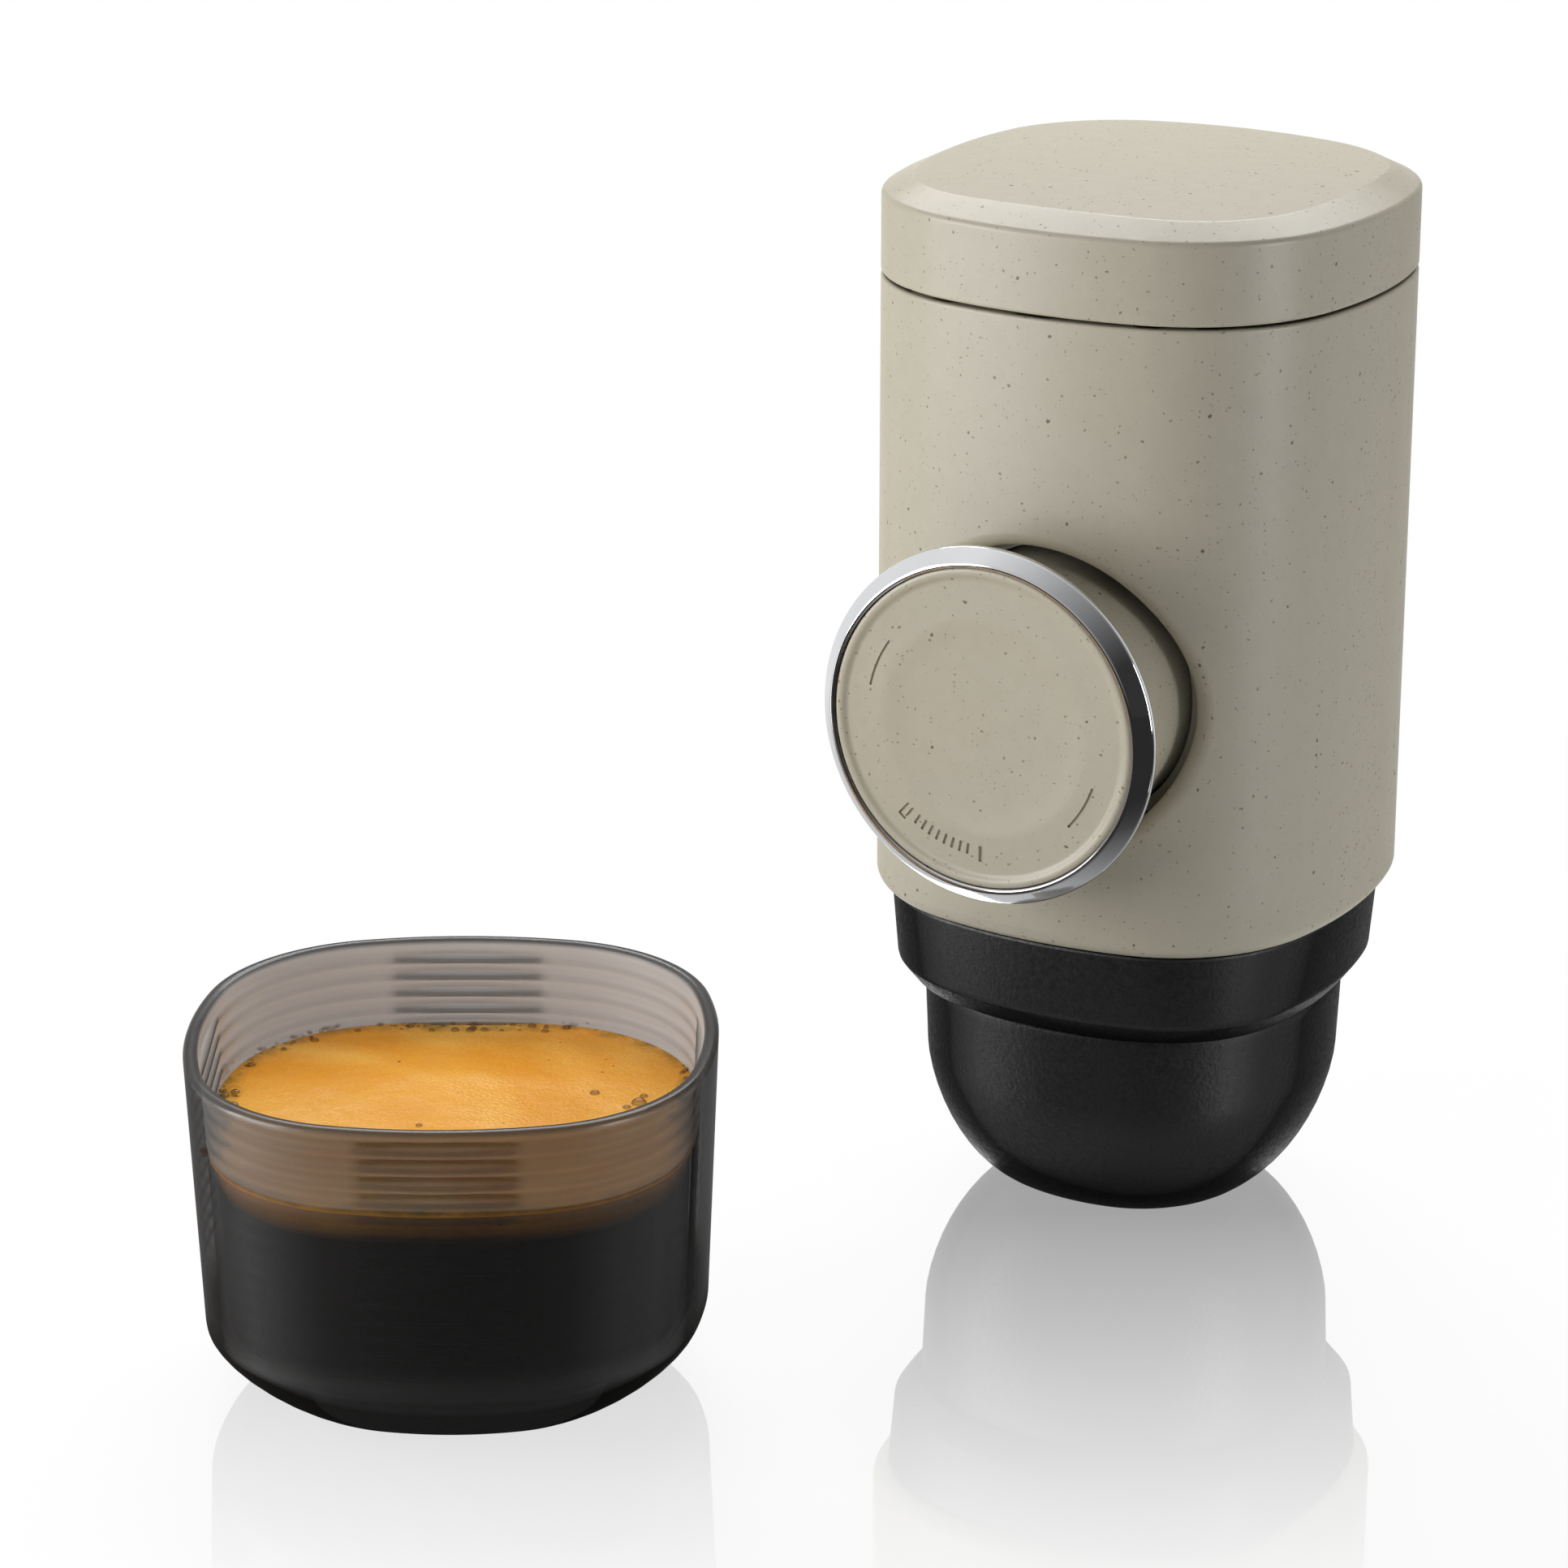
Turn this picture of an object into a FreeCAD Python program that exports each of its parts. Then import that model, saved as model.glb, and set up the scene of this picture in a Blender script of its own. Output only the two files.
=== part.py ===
import FreeCAD, Part
import math
import os
import re
import Sketcher
from FreeCAD import Placement, Rotation, Vector

# A pocket espresso maker that is pumped by hand, with its own cup.
# +Z is up, and the origin is the middle of the flat underside of the outlet bowl.
# The pump lies along Y and its knob points to -Y. All sizes are in millimetres.

DIMENSIONS = [
    ("body_half", 31.0, "half the body's width across its flats"),
    ("side_radius", 60.0, "radius of the body's gently bowed sides"),
    ("corner_radius", 22.0, "radius of the body's upright corners"),
    ("wall", 2.2, "thickness of the body's wall"),
    ("body_base", 41.0, "level of the body's lower edge"),
    ("body_round", 2.4, "round of the body's lower edge"),
    ("body_floor", 44.5, "top of the body's floor"),
    ("seam_level", 119.8, "level of the body's upper edge"),
    ("seam_round", 0.4, "round of the edges at the seam"),
    ("fit_gap", 0.1, "play between pieces that are fixed together"),
    ("slide_gap", 0.3, "play between pieces that move past each other"),
    ("cap_base", 120.2, "level of the lid cap's lower edge"),
    ("cap_shoulder", 130.1, "level where the cap's bevel starts"),
    ("cap_top", 133.0, "highest point of the crowned top"),
    ("bevel_run", 6.1, "how far the bevel would run in at the top"),
    ("crown_radius", 420.0, "radius of the crowned top"),
    ("cap_ceiling", 128.4, "underside of the cap's top"),
    ("bevel_round", 0.9, "round of the bevel's two edges"),
    ("plug_base", 113.6, "lower edge of the lid plug's skirt"),
    ("plug_radius", 23.7, "outer radius of the lid plug's skirt"),
    ("plug_top", 121.6, "top of the lid plug's flange"),
    ("lid_screw_place", 13.0, "X and Y of the lid screws"),
    ("tank_base", 96.5, "underside of the water tank"),
    ("tank_floor", 98.3, "top of the water tank's floor"),
    ("tank_shoulder", 112.0, "where the tank narrows to its neck"),
    ("tank_rim", 119.0, "top of the tank's neck"),
    ("tank_wall", 1.5, "thickness of the tank's wall"),
    ("knob_level", 72.4, "height of the pump's axis"),
    ("well_radius", 19.2, "radius of the round opening for the knob"),
    ("well_round", 1.8, "round of that opening's edge"),
    ("port_offset", 16.0, "how far behind the middle the water ports lie"),
    ("port_radius", 1.5, "radius of the water ports"),
    ("valve_bore", 4.4, "radius of the two valve chambers"),
    ("carrier_base", 46.0, "underside of the pump carrier"),
    ("carrier_deck", 94.8, "underside of the carrier's top plate"),
    ("carrier_top", 96.4, "top of the carrier"),
    ("web_half", 13.0, "half the width of the carrier's upright web"),
    ("web_front", 2.4, "distance of the web's front face before the axis"),
    ("web_back", 24.0, "distance of the web's back face behind the axis"),
    ("cylinder_radius", 10.0, "outer radius of the pump cylinder"),
    ("cylinder_bore", 8.0, "inner radius of the pump cylinder"),
    ("cylinder_length", 34.0, "length of the pump cylinder"),
    ("cylinder_back", 20.0, "how far the cylinder reaches behind the axis"),
    ("rod_radius", 3.0, "radius of the piston rod"),
    ("piston_radius", 7.7, "radius of the piston"),
    ("piston_back", 15.5, "how far the piston reaches behind the axis"),
    ("piston_length", 6.0, "length of the piston"),
    ("seal_radius", 7.94, "outer radius of the piston's seals"),
    ("guide_radius", 17.6, "inner radius of the knob's guide"),
    ("guide_front", 22.0, "distance of the guide's front edge from the axis"),
    ("drum_radius", 17.3, "outer radius of the knob's drum"),
    ("drum_wall", 1.5, "thickness of the drum's wall"),
    ("drum_back", 3.0, "distance of the drum's open end from the axis"),
    ("drum_plate", 37.5, "distance of the drum's end plate from the axis"),
    ("ring_back", 40.0, "distance of the bright ring's back from the axis"),
    ("face_back", 41.5, "distance of the knob face's back from the axis"),
    ("knob_front", 43.4, "distance of the knob's front from the axis"),
    ("tick_start", 14.75, "radius where the scale's ticks start"),
    ("tick_end", 16.15, "radius where the scale's ticks end"),
    ("tick_half", 0.18, "half the width of a tick"),
    ("tick_step", 3.9, "angle between the ticks"),
    ("first_tick", 6.5, "angle from the locked mark to the first tick"),
    ("mark_spread", 40.2, "angle from the locked mark to the unlocked mark"),
    ("ring_radius", 22.1, "outer radius of the bright ring"),
    ("ring_bore", 19.85, "inner radius of the bright ring"),
    ("spring_radius", 8.3, "mean radius of the return spring"),
    ("spring_wire", 0.6, "radius of the spring's wire"),
    ("spring_turns", 6.0, "turns of the return spring"),
    ("socket_radius", 24.0, "radius of the opening in the body's floor"),
    ("brew_deck", 41.2, "underside of the brew head's plate"),
    ("brew_top", 45.9, "top of the brew head"),
    ("spigot_base", 30.9, "lower edge of the brew head's threaded spigot"),
    ("spigot_radius", 22.0, "outer radius of the spigot"),
    ("spigot_bore", 19.8, "inner radius of the spigot"),
    ("brew_screw_x", 8.5, "X of the brew head's screws"),
    ("brew_screw_near", 2.0, "Y of the nearer brew head screws"),
    ("brew_screw_far", 14.0, "Y of the further brew head screws"),
    ("needle_deck", 39.9, "underside of the needle plate"),
    ("holder_base", 15.15, "underside of the capsule holder"),
    ("holder_top", 38.8, "top of the capsule holder"),
    ("plate_base", 13.25, "underside of the strainer plate"),
    ("plate_top", 15.05, "top of the strainer plate"),
    ("plate_radius", 21.7, "radius of the strainer plate"),
    ("collar_base", 28.4, "lower edge of the outlet collar"),
    ("collar_ledge", 31.2, "level where the collar's side starts"),
    ("collar_top", 40.8, "top of the outlet collar"),
    ("collar_half_base", 26.0, "half the collar's width at its lower edge"),
    ("collar_half_ledge", 28.2, "half the collar's width above its bevel"),
    ("collar_half_top", 29.0, "half the collar's width at its top"),
    ("collar_bore", 22.5, "inner radius of the outlet collar"),
    ("lip_radius", 23.5, "radius of the bowl's lip inside the collar"),
    ("lip_top", 30.3, "top of the bowl's lip"),
    ("bowl_half", 25.5, "half the bowl's width where it stops swelling"),
    ("bowl_rim_half", 25.9, "half the bowl's width at its rim"),
    ("bowl_flat", 10.2, "half the width of the bowl's flat underside"),
    ("bowl_swell", 18.4, "height where the bowl stops swelling"),
    ("bowl_bore", 21.8, "inner radius of the bowl"),
    ("cup_height", 43.3, "height of the cup"),
    ("cup_half", 31.0, "half the cup's width at its rim"),
    ("cup_belly", 29.6, "half the cup's width above its bevel"),
    ("cup_flat", 17.8, "half the width of the cup's flat underside"),
    ("cup_swell", 10.6, "height where the cup's bevel ends"),
    ("cup_wall", 1.8, "thickness of the cup's wall"),
    ("cup_floor", 3.4, "top of the cup's floor"),
    ("rib_base", 14.87, "underside of the lowest rib in the cup"),
    ("rib_pitch", 2.13, "distance from rib to rib"),
    ("rib_height", 0.86, "height of a rib's edge"),
    ("rib_depth", 0.85, "how far a rib stands out in the middle of its side"),
    ("rib_reach", 9.9, "half the length of a rib, which runs into the bowed wall"),
    ("coffee_level", 32.6, "height of the coffee in the cup"),
    ("coffee_gap", 0.95, "distance of the coffee from the cup's wall, clear of the ribs"),
    ("cup_x", -42.3, "X of the cup's middle"),
    ("cup_y", -93.6, "Y of the cup's middle"),
    ("cup_turn", 30.0, "angle by which the cup is turned"),
]

doc = FreeCAD.newDocument("EspressoMaker")
sheet = doc.addObject("Spreadsheet::Sheet", "Dimensions")
for row, (alias, size, note) in enumerate(DIMENSIONS, 1):
    sheet.set(f"A{row}", note)
    sheet.set(f"B{row}", str(size))
    sheet.setAlias(f"B{row}", alias)
doc.recompute()

parts = []


# ---- dimensions, bodies and sketches ----

def full(expression):
    """The expression with each dimension led by the name of its sheet."""
    return re.sub(r"[a-z]\w+", lambda word: "Dimensions." + word.group(0), str(expression))


def value(expression):
    return float(sheet.evalExpression(full(expression)))


def bind(item, setting, expression):
    item.setExpression(setting, full(expression))


def new_body(label, x="0", y="0", z="0"):
    body = doc.addObject("PartDesign::Body", label)
    body.Label = label
    for axis, place in zip("xyz", (x, y, z)):
        bind(body, f"Placement.Base.{axis}", place)
    parts.append(body)
    return body


def turn_to_pump(body):
    """Local +Z becomes the pump's outward direction, -Y, and local Y becomes up."""
    body.Placement = Placement(body.Placement.Base, Rotation(Vector(1, 0, 0), 90))
    bind(body, "Placement.Base.z", "knob_level")


def new_sketch(body, role, level="0"):
    """A sketch on one of the body's own planes, moved along the plane's normal."""
    sketch = body.newObject("Sketcher::SketchObject", "Sketch")
    plane = next(p for p in body.Origin.OriginFeatures if p.Role == role)
    sketch.AttachmentSupport = [(plane, "")]
    sketch.MapMode = "FlatFace"
    bind(sketch, "AttachmentOffset.Base.z", level)
    return sketch


def pin(sketch, geometry, point, kind, expression):
    """Hold one coordinate of a point at a dimension, or on the axis where it is 0."""
    size = value(expression)
    if abs(size) < 1e-9:
        axis = -2 if kind == "DistanceX" else -1
        sketch.addConstraint(Sketcher.Constraint("PointOnObject", geometry, point, axis))
    elif size > 0:
        made = sketch.addConstraint(Sketcher.Constraint(kind, -1, 1, geometry, point, size))
        sketch.setExpression(f"Constraints[{made}]", full(expression))
    else:
        made = sketch.addConstraint(Sketcher.Constraint(kind, geometry, point, -1, 1, -size))
        sketch.setExpression(f"Constraints[{made}]", full(f"-({expression})"))


def radius(sketch, geometry, expression):
    made = sketch.addConstraint(Sketcher.Constraint("Radius", geometry, value(expression)))
    sketch.setExpression(f"Constraints[{made}]", full(expression))


def draw_outline(sketch, corners):
    """A closed outline of straight lines through (x, y) corners."""
    places = [Vector(value(x), value(y), 0) for x, y in corners]
    count = len(corners)
    for i, place in enumerate(places):
        sketch.addGeometry(Part.LineSegment(place, places[(i + 1) % count]), False)
    for i, (x, y) in enumerate(corners):
        sketch.addConstraint(Sketcher.Constraint("Coincident", i, 2, (i + 1) % count, 1))
        pin(sketch, i, 1, "DistanceX", x)
        pin(sketch, i, 1, "DistanceY", y)
    return sketch


def draw_circle(sketch, size, x="0", y="0"):
    centre = Vector(value(x), value(y), 0)
    made = sketch.addGeometry(Part.Circle(centre, Vector(0, 0, 1), value(size)), False)
    pin(sketch, made, 3, "DistanceX", x)
    pin(sketch, made, 3, "DistanceY", y)
    radius(sketch, made, size)
    return sketch


def draw_rounded_square(sketch, half, side, corner):
    """Four bowed sides and four round corners, all tangent to each other."""
    half_size, side_size, corner_size = value(half), value(side), value(corner)
    bow = side_size - half_size
    # the corner's centre (c, -c) is side - corner away from the lower side's centre (0, bow)
    c = (math.sqrt(2 * (side_size - corner_size) ** 2 - bow ** 2) - bow) / 2
    spread = math.atan2(c, c + bow)
    down = -math.pi / 2
    for quarter in range(4):
        turn = Rotation(Vector(0, 0, 1), 90 * quarter)
        angle = math.pi / 2 * quarter
        side_circle = Part.Circle(turn.multVec(Vector(0, bow, 0)), Vector(0, 0, 1), side_size)
        corner_circle = Part.Circle(turn.multVec(Vector(c, -c, 0)), Vector(0, 0, 1), corner_size)
        start, end = angle + down - spread, angle + down + spread
        sketch.addGeometry(Part.ArcOfCircle(side_circle, start, end), False)
        sketch.addGeometry(Part.ArcOfCircle(corner_circle, end, angle - spread), False)
    for i in range(8):
        sketch.addConstraint(Sketcher.Constraint("Tangent", i, 2, (i + 1) % 8, 1))
    for i in (2, 4, 6):
        sketch.addConstraint(Sketcher.Constraint("Equal", 0, i))
        sketch.addConstraint(Sketcher.Constraint("Equal", 1, i + 1))
    bow_size = f"({side}) - ({half})"
    for i, (x, y) in ((0, ("0", bow_size)), (2, (f"-({bow_size})", "0")),
                      (4, ("0", f"-({bow_size})")), (6, (bow_size, "0"))):
        pin(sketch, i, 3, "DistanceX", x)
        pin(sketch, i, 3, "DistanceY", y)
    radius(sketch, 0, side)
    radius(sketch, 1, corner)
    return sketch


def body_section(body, half, level):
    """The body's rounded square, offset in or out to another half width."""
    inset = f"body_half + ({half})"
    return draw_rounded_square(new_sketch(body, "XY_Plane", level), half,
                               f"side_radius - {inset}", f"corner_radius - {inset}")


def scaled_section(body, half, level, side_ratio, corner_ratio):
    """A rounded square whose radii are in proportion to its half width."""
    return draw_rounded_square(new_sketch(body, "XY_Plane", level), half,
                               f"({half}) * {side_ratio}", f"({half}) * {corner_ratio}")


# ---- features ----

def add_feature(body, kind, profile, **sizes):
    feature = body.newObject("PartDesign::" + kind, kind)
    feature.Profile = profile
    for setting, expression in sizes.items():
        bind(feature, setting, expression)
    doc.recompute()
    return feature


def pad(body, sketch, length):
    return add_feature(body, "Pad", sketch, Length=length)


def pocket(body, sketch, length, upwards=False, both_ways=False):
    """Cut against the sketch's normal, or along it, or half each way."""
    before = body.Shape.Volume
    feature = add_feature(body, "Pocket", sketch, Length=length)
    if upwards:
        feature.Reversed = True
    if both_ways:
        feature.SideType = "Symmetric"
    doc.recompute()
    if not body.Shape.Volume < before - 1e-6:
        raise RuntimeError(f"{body.Label}: a pocket cuts nothing")
    return feature


def revolve(body, sketch, kind="Revolution"):
    feature = body.newObject("PartDesign::" + kind, kind)
    feature.Profile = sketch
    feature.ReferenceAxis = (sketch, ["V_Axis"])
    feature.Angle = 360
    doc.recompute()
    return feature


def loft(body, sections, kind="AdditiveLoft", ruled=False):
    feature = body.newObject("PartDesign::" + kind, kind)
    feature.Profile = sections[0]
    feature.Sections = sections[1:]
    feature.Ruled = ruled
    doc.recompute()
    return feature


def round_edges(body, size, chosen):
    """Fillet the edges that the test picks out."""
    base = body.Tip
    names = [f"Edge{i}" for i, edge in enumerate(base.Shape.Edges, 1) if chosen(edge)]
    fillet = body.newObject("PartDesign::Fillet", "Fillet")
    fillet.Base = (base, names)
    bind(fillet, "Radius", size)
    doc.recompute()
    return fillet


def at_level(level):
    """A test for edges that lie wholly at one level."""
    height = value(level)
    return lambda edge: all(abs(vertex.Z - height) < 1e-3 for vertex in edge.Vertexes)


def polar_copies(body, feature, count, angle=360.0):
    """The feature repeated about the body's own Z axis."""
    pattern = body.newObject("PartDesign::PolarPattern", "PolarPattern")
    pattern.Originals = [feature]
    axis = next(a for a in body.Origin.OriginFeatures if a.Role == "Z_Axis")
    pattern.Axis = (axis, [""])
    pattern.Angle = angle
    pattern.Occurrences = count
    body.Tip = pattern
    doc.recompute()
    return pattern


def turned(label, corners, x="0", y="0", z="0"):
    """A piece turned about its own upright axis from (radius, height) corners."""
    body = new_body(label, x, y, z)
    revolve(body, draw_outline(new_sketch(body, "XZ_Plane"), corners))
    return body


def turned_on_pump(label, corners, start="0"):
    """A piece turned about the pump's axis; start is its place along that axis, to -Y."""
    body = turned(label, corners, y=f"-({start})")
    turn_to_pump(body)
    return body


def tube(inner, outer, low, high):
    """The outline of a plain ring or tube."""
    return [(inner, low), (outer, low), (outer, high), (inner, high)]


def screws(label, places, level, head_radius, head_height, shank_radius, length):
    """Pan-head screws that point up, as one group of separate solids."""
    group = []
    for x, y in places:
        head = doc.addObject("Part::Cylinder", "ScrewHead")
        shank = doc.addObject("Part::Cylinder", "ScrewShank")
        for item, size, height in ((head, head_radius, head_height), (shank, shank_radius, length)):
            bind(item, "Radius", size)
            bind(item, "Height", height)
            bind(item, "Placement.Base.x", x)
            bind(item, "Placement.Base.y", y)
            bind(item, "Placement.Base.z", level)
        screw = doc.addObject("Part::MultiFuse", "Screw")
        screw.Shapes = [head, shank]
        group.append(screw)
    compound = doc.addObject("Part::Compound", label)
    compound.Label = label
    compound.Links = group
    parts.append(compound)
    return compound


# ---- body shell ----

def make_main_housing():
    """The moulded outer shell, with a round opening for the knob and a floor with a socket."""
    body = new_body("main_housing")
    pad(body, body_section(body, "body_half", "body_base"), "seam_level - body_base")
    round_edges(body, "body_round", at_level("body_base"))
    round_edges(body, "seam_round", at_level("seam_level"))
    well_start, well_end = "body_half + 5", "10"
    well = draw_circle(new_sketch(body, "XZ_Plane", well_start), "well_radius", y="knob_level")
    pocket(body, well, f"{well_start} - {well_end}")

    def at_mouth(edge):
        middle = edge.valueAt((edge.FirstParameter + edge.LastParameter) / 2)
        reach = math.hypot(middle.x, middle.z - value("knob_level"))
        return abs(reach - value("well_radius")) < 0.05 and middle.y < -value(well_end) - 1

    round_edges(body, "well_round", at_mouth)
    inside = body_section(body, "body_half - wall", "seam_level")
    pocket(body, inside, "seam_level - body_floor")
    socket = draw_circle(new_sketch(body, "XY_Plane", "body_floor"), "socket_radius")
    pocket(body, socket, "body_floor - body_base + 1")


# ---- lid and tank ----

def make_lid_cap():
    """The lid's outer cap: bevelled all round, with a slightly crowned top."""
    body = new_body("lid_cap")
    pad(body, body_section(body, "body_half", "cap_base"), "cap_shoulder - cap_base")
    loft(body, [body_section(body, "body_half", "cap_shoulder"),
                body_section(body, "body_half - bevel_run", "cap_top")], ruled=True)
    crown = new_sketch(body, "XZ_Plane")
    reach = value("body_half") + 6
    low = value("cap_top") - value("crown_radius") + math.sqrt(value("crown_radius") ** 2 - reach ** 2)
    centre = Vector(0, value("cap_top") - value("crown_radius"), 0)
    arc = Part.ArcOfCircle(Part.Circle(centre, Vector(0, 0, 1), value("crown_radius")),
                           math.acos(reach / value("crown_radius")), math.pi / 2)
    top, above = value("cap_top"), value("cap_top") + 2
    crown.addGeometry(arc, False)
    for start, end in (((0, top), (0, above)), ((0, above), (reach, above)), ((reach, above), (reach, low))):
        crown.addGeometry(Part.LineSegment(Vector(*start, 0), Vector(*end, 0)), False)
    for first, second in (((0, 2), (1, 1)), ((1, 2), (2, 1)), ((2, 2), (3, 1)), ((3, 2), (0, 1))):
        crown.addConstraint(Sketcher.Constraint("Coincident", *first, *second))
    crown.addConstraint(Sketcher.Constraint("PointOnObject", 0, 3, -2))
    crown.addConstraint(Sketcher.Constraint("Vertical", 3))
    crown.addConstraint(Sketcher.Constraint("Horizontal", 2))
    pin(crown, 1, 1, "DistanceX", "0")
    pin(crown, 1, 1, "DistanceY", "cap_top")
    pin(crown, 1, 2, "DistanceX", "0")
    pin(crown, 1, 2, "DistanceY", "cap_top + 2")
    pin(crown, 3, 1, "DistanceX", "body_half + 6")
    radius(crown, 0, "crown_radius")
    revolve(body, crown, "Groove")

    def at_bevel(edge):
        levels = [vertex.Z for vertex in edge.Vertexes]
        reach_in = min(math.hypot(vertex.X, vertex.Y) for vertex in edge.Vertexes)
        flat = max(levels) - min(levels) < 0.5
        return flat and min(levels) > value("cap_shoulder") - 0.01 and reach_in > value("plug_radius")

    round_edges(body, "bevel_round", at_bevel)
    round_edges(body, "seam_round", at_level("cap_base"))
    inside = body_section(body, "body_half - 2", "cap_base")
    pocket(body, inside, "cap_ceiling - cap_base", upwards=True)
    boss = new_sketch(body, "XY_Plane", "plug_top + fit_gap")
    for x in ("lid_screw_place", "-lid_screw_place"):
        for y in ("lid_screw_place", "-lid_screw_place"):
            draw_circle(boss, "3.2", x, y)
            draw_circle(boss, "1.3", x, y)
    pad(body, boss, "cap_ceiling - plug_top - fit_gap + 0.2")


def make_lid_plug():
    """The plug under the cap: a flange with a round skirt that screws into the tank's neck."""
    body = new_body("lid_plug")
    flange_base = "seam_level + fit_gap"
    flange = body_section(body, "body_half - wall - fit_gap", flange_base)
    pad(body, flange, "plug_top - seam_level - fit_gap")
    skirt = new_sketch(body, "XY_Plane", "plug_base")
    draw_circle(skirt, "plug_radius")
    draw_circle(skirt, "plug_radius - 1.7")
    pad(body, skirt, "seam_level + fit_gap - plug_base")
    holes = new_sketch(body, "XY_Plane", "plug_top")
    draw_circle(holes, "1.5")
    for x in ("lid_screw_place", "-lid_screw_place"):
        for y in ("lid_screw_place", "-lid_screw_place"):
            draw_circle(holes, "1.3", x, y)
    pocket(body, holes, "plug_top - seam_level")


def make_lid():
    make_lid_cap()
    make_lid_plug()
    corners = [(f"{x}lid_screw_place", f"{y}lid_screw_place") for x in ("", "-") for y in ("", "-")]
    screws("lid_screws", corners, "seam_level - 1.5", "2.3", "1.6 - fit_gap", "1.2", "8")
    turned("lid_gasket", tube("plug_radius + 0.6", "27", "0", "0.75"), z="tank_rim + 0.1")
    umbrella = [("0", "0"), ("1.2", "0"), ("1.2", "2.5"), ("4", "2.2"), ("4", "2.7"), ("1.2", "3.8"),
                ("0", "3.8")]
    turned("vent_valve", umbrella, z="plug_top - 2.1")


def make_water_tank():
    """The liner that holds the hot water: a rounded-square can with a round neck."""
    body = new_body("water_tank")
    outer = "body_half - wall - fit_gap"
    pad(body, body_section(body, outer, "tank_base"), "tank_rim - tank_base")
    inside = body_section(body, f"{outer} - tank_wall", "tank_shoulder")
    pocket(body, inside, "tank_shoulder - tank_floor")
    neck = draw_circle(new_sketch(body, "XY_Plane", "tank_rim"), "plug_radius + slide_gap")
    pocket(body, neck, "tank_rim - tank_shoulder + 1")
    drain = draw_circle(new_sketch(body, "XY_Plane", "tank_floor"), "port_radius", y="port_offset")
    pocket(body, drain, "tank_floor - tank_base")


def make_intake_filter():
    """The strainer over the tank's drain."""
    body = turned("intake_filter",
                  [("0", "0.6"), ("4.6", "0.6"), ("5", "0"), ("5.6", "0"), ("5.2", "1.2"), ("0", "1.2")],
                  y="port_offset", z="tank_floor + 0.05")
    hole = draw_circle(new_sketch(body, "XY_Plane", "1.2"), "0.6", x="3")
    polar_copies(body, pocket(body, hole, "0.8"), 8)


# ---- pump ----

def make_pump_carrier():
    """The block that holds the pump across the body, with its two water channels."""
    body = new_body("pump_carrier")
    web = draw_outline(new_sketch(body, "XY_Plane", "carrier_base"),
                       [("-web_half", "-web_front"), ("web_half", "-web_front"),
                        ("web_half", "web_back"), ("-web_half", "web_back")])
    pad(body, web, "carrier_top - carrier_base")
    deck = body_section(body, "body_half - wall - fit_gap", "carrier_deck")
    pad(body, deck, "carrier_top - carrier_deck")
    bore = draw_circle(new_sketch(body, "XZ_Plane", "web_front"), "cylinder_radius + 0.05", y="knob_level")
    pocket(body, bore, "web_front + cylinder_back + 0.05")
    reach = "knob_level - cylinder_radius"
    for level, upwards, depth in (("carrier_top", False, "carrier_top - knob_level - cylinder_bore"),
                                  ("carrier_base", True, "knob_level - cylinder_bore - carrier_base")):
        channel = draw_circle(new_sketch(body, "XY_Plane", level), "port_radius", y="port_offset")
        pocket(body, channel, depth, upwards)
        chamber = draw_circle(new_sketch(body, "XY_Plane", level), "valve_bore", y="port_offset")
        pocket(body, chamber, "3.4", upwards)
    holes = new_sketch(body, "XY_Plane", "carrier_base")
    for x in ("brew_screw_x", "-brew_screw_x"):
        for y in ("brew_screw_near", "brew_screw_far"):
            draw_circle(holes, "1.3", x, y)
    pocket(body, holes, "8", upwards=True)


def make_pump_cylinder():
    """The tube in which the piston runs, closed at the back, with a port above and below."""
    body = turned_on_pump("pump_cylinder",
                          [("0", "0"), ("cylinder_radius", "0"), ("cylinder_radius", "cylinder_length"),
                           ("cylinder_bore", "cylinder_length"), ("cylinder_bore", "1.5"), ("0", "1.5")],
                          start="-cylinder_back")
    ports = draw_circle(new_sketch(body, "XZ_Plane"), "port_radius", y="cylinder_back - port_offset")
    pocket(body, ports, "2 * cylinder_radius + 2", both_ways=True)


def make_return_spring():
    """The coil that pushes the knob out between strokes, squeezed while it is locked in."""
    start = value("cylinder_length - cylinder_back") + 1.6 + value("spring_wire")
    end = value("drum_plate") - 0.1 - value("spring_wire")
    size = value("spring_radius")
    coil = Part.makeLongHelix((end - start) / value("spring_turns"), end - start, size)
    section = Part.Wire(Part.makeCircle(value("spring_wire"), Vector(size, 0, 0), Vector(0, 1, 0)))
    spring = doc.addObject("Part::Feature", "return_spring")
    spring.Shape = Part.Wire(coil.Edges).makePipeShell([section], True, True)
    spring.Placement = Placement(Vector(0, -start, value("knob_level")), Rotation(Vector(1, 0, 0), 90))
    spring.Label = "return_spring"
    parts.append(spring)


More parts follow.
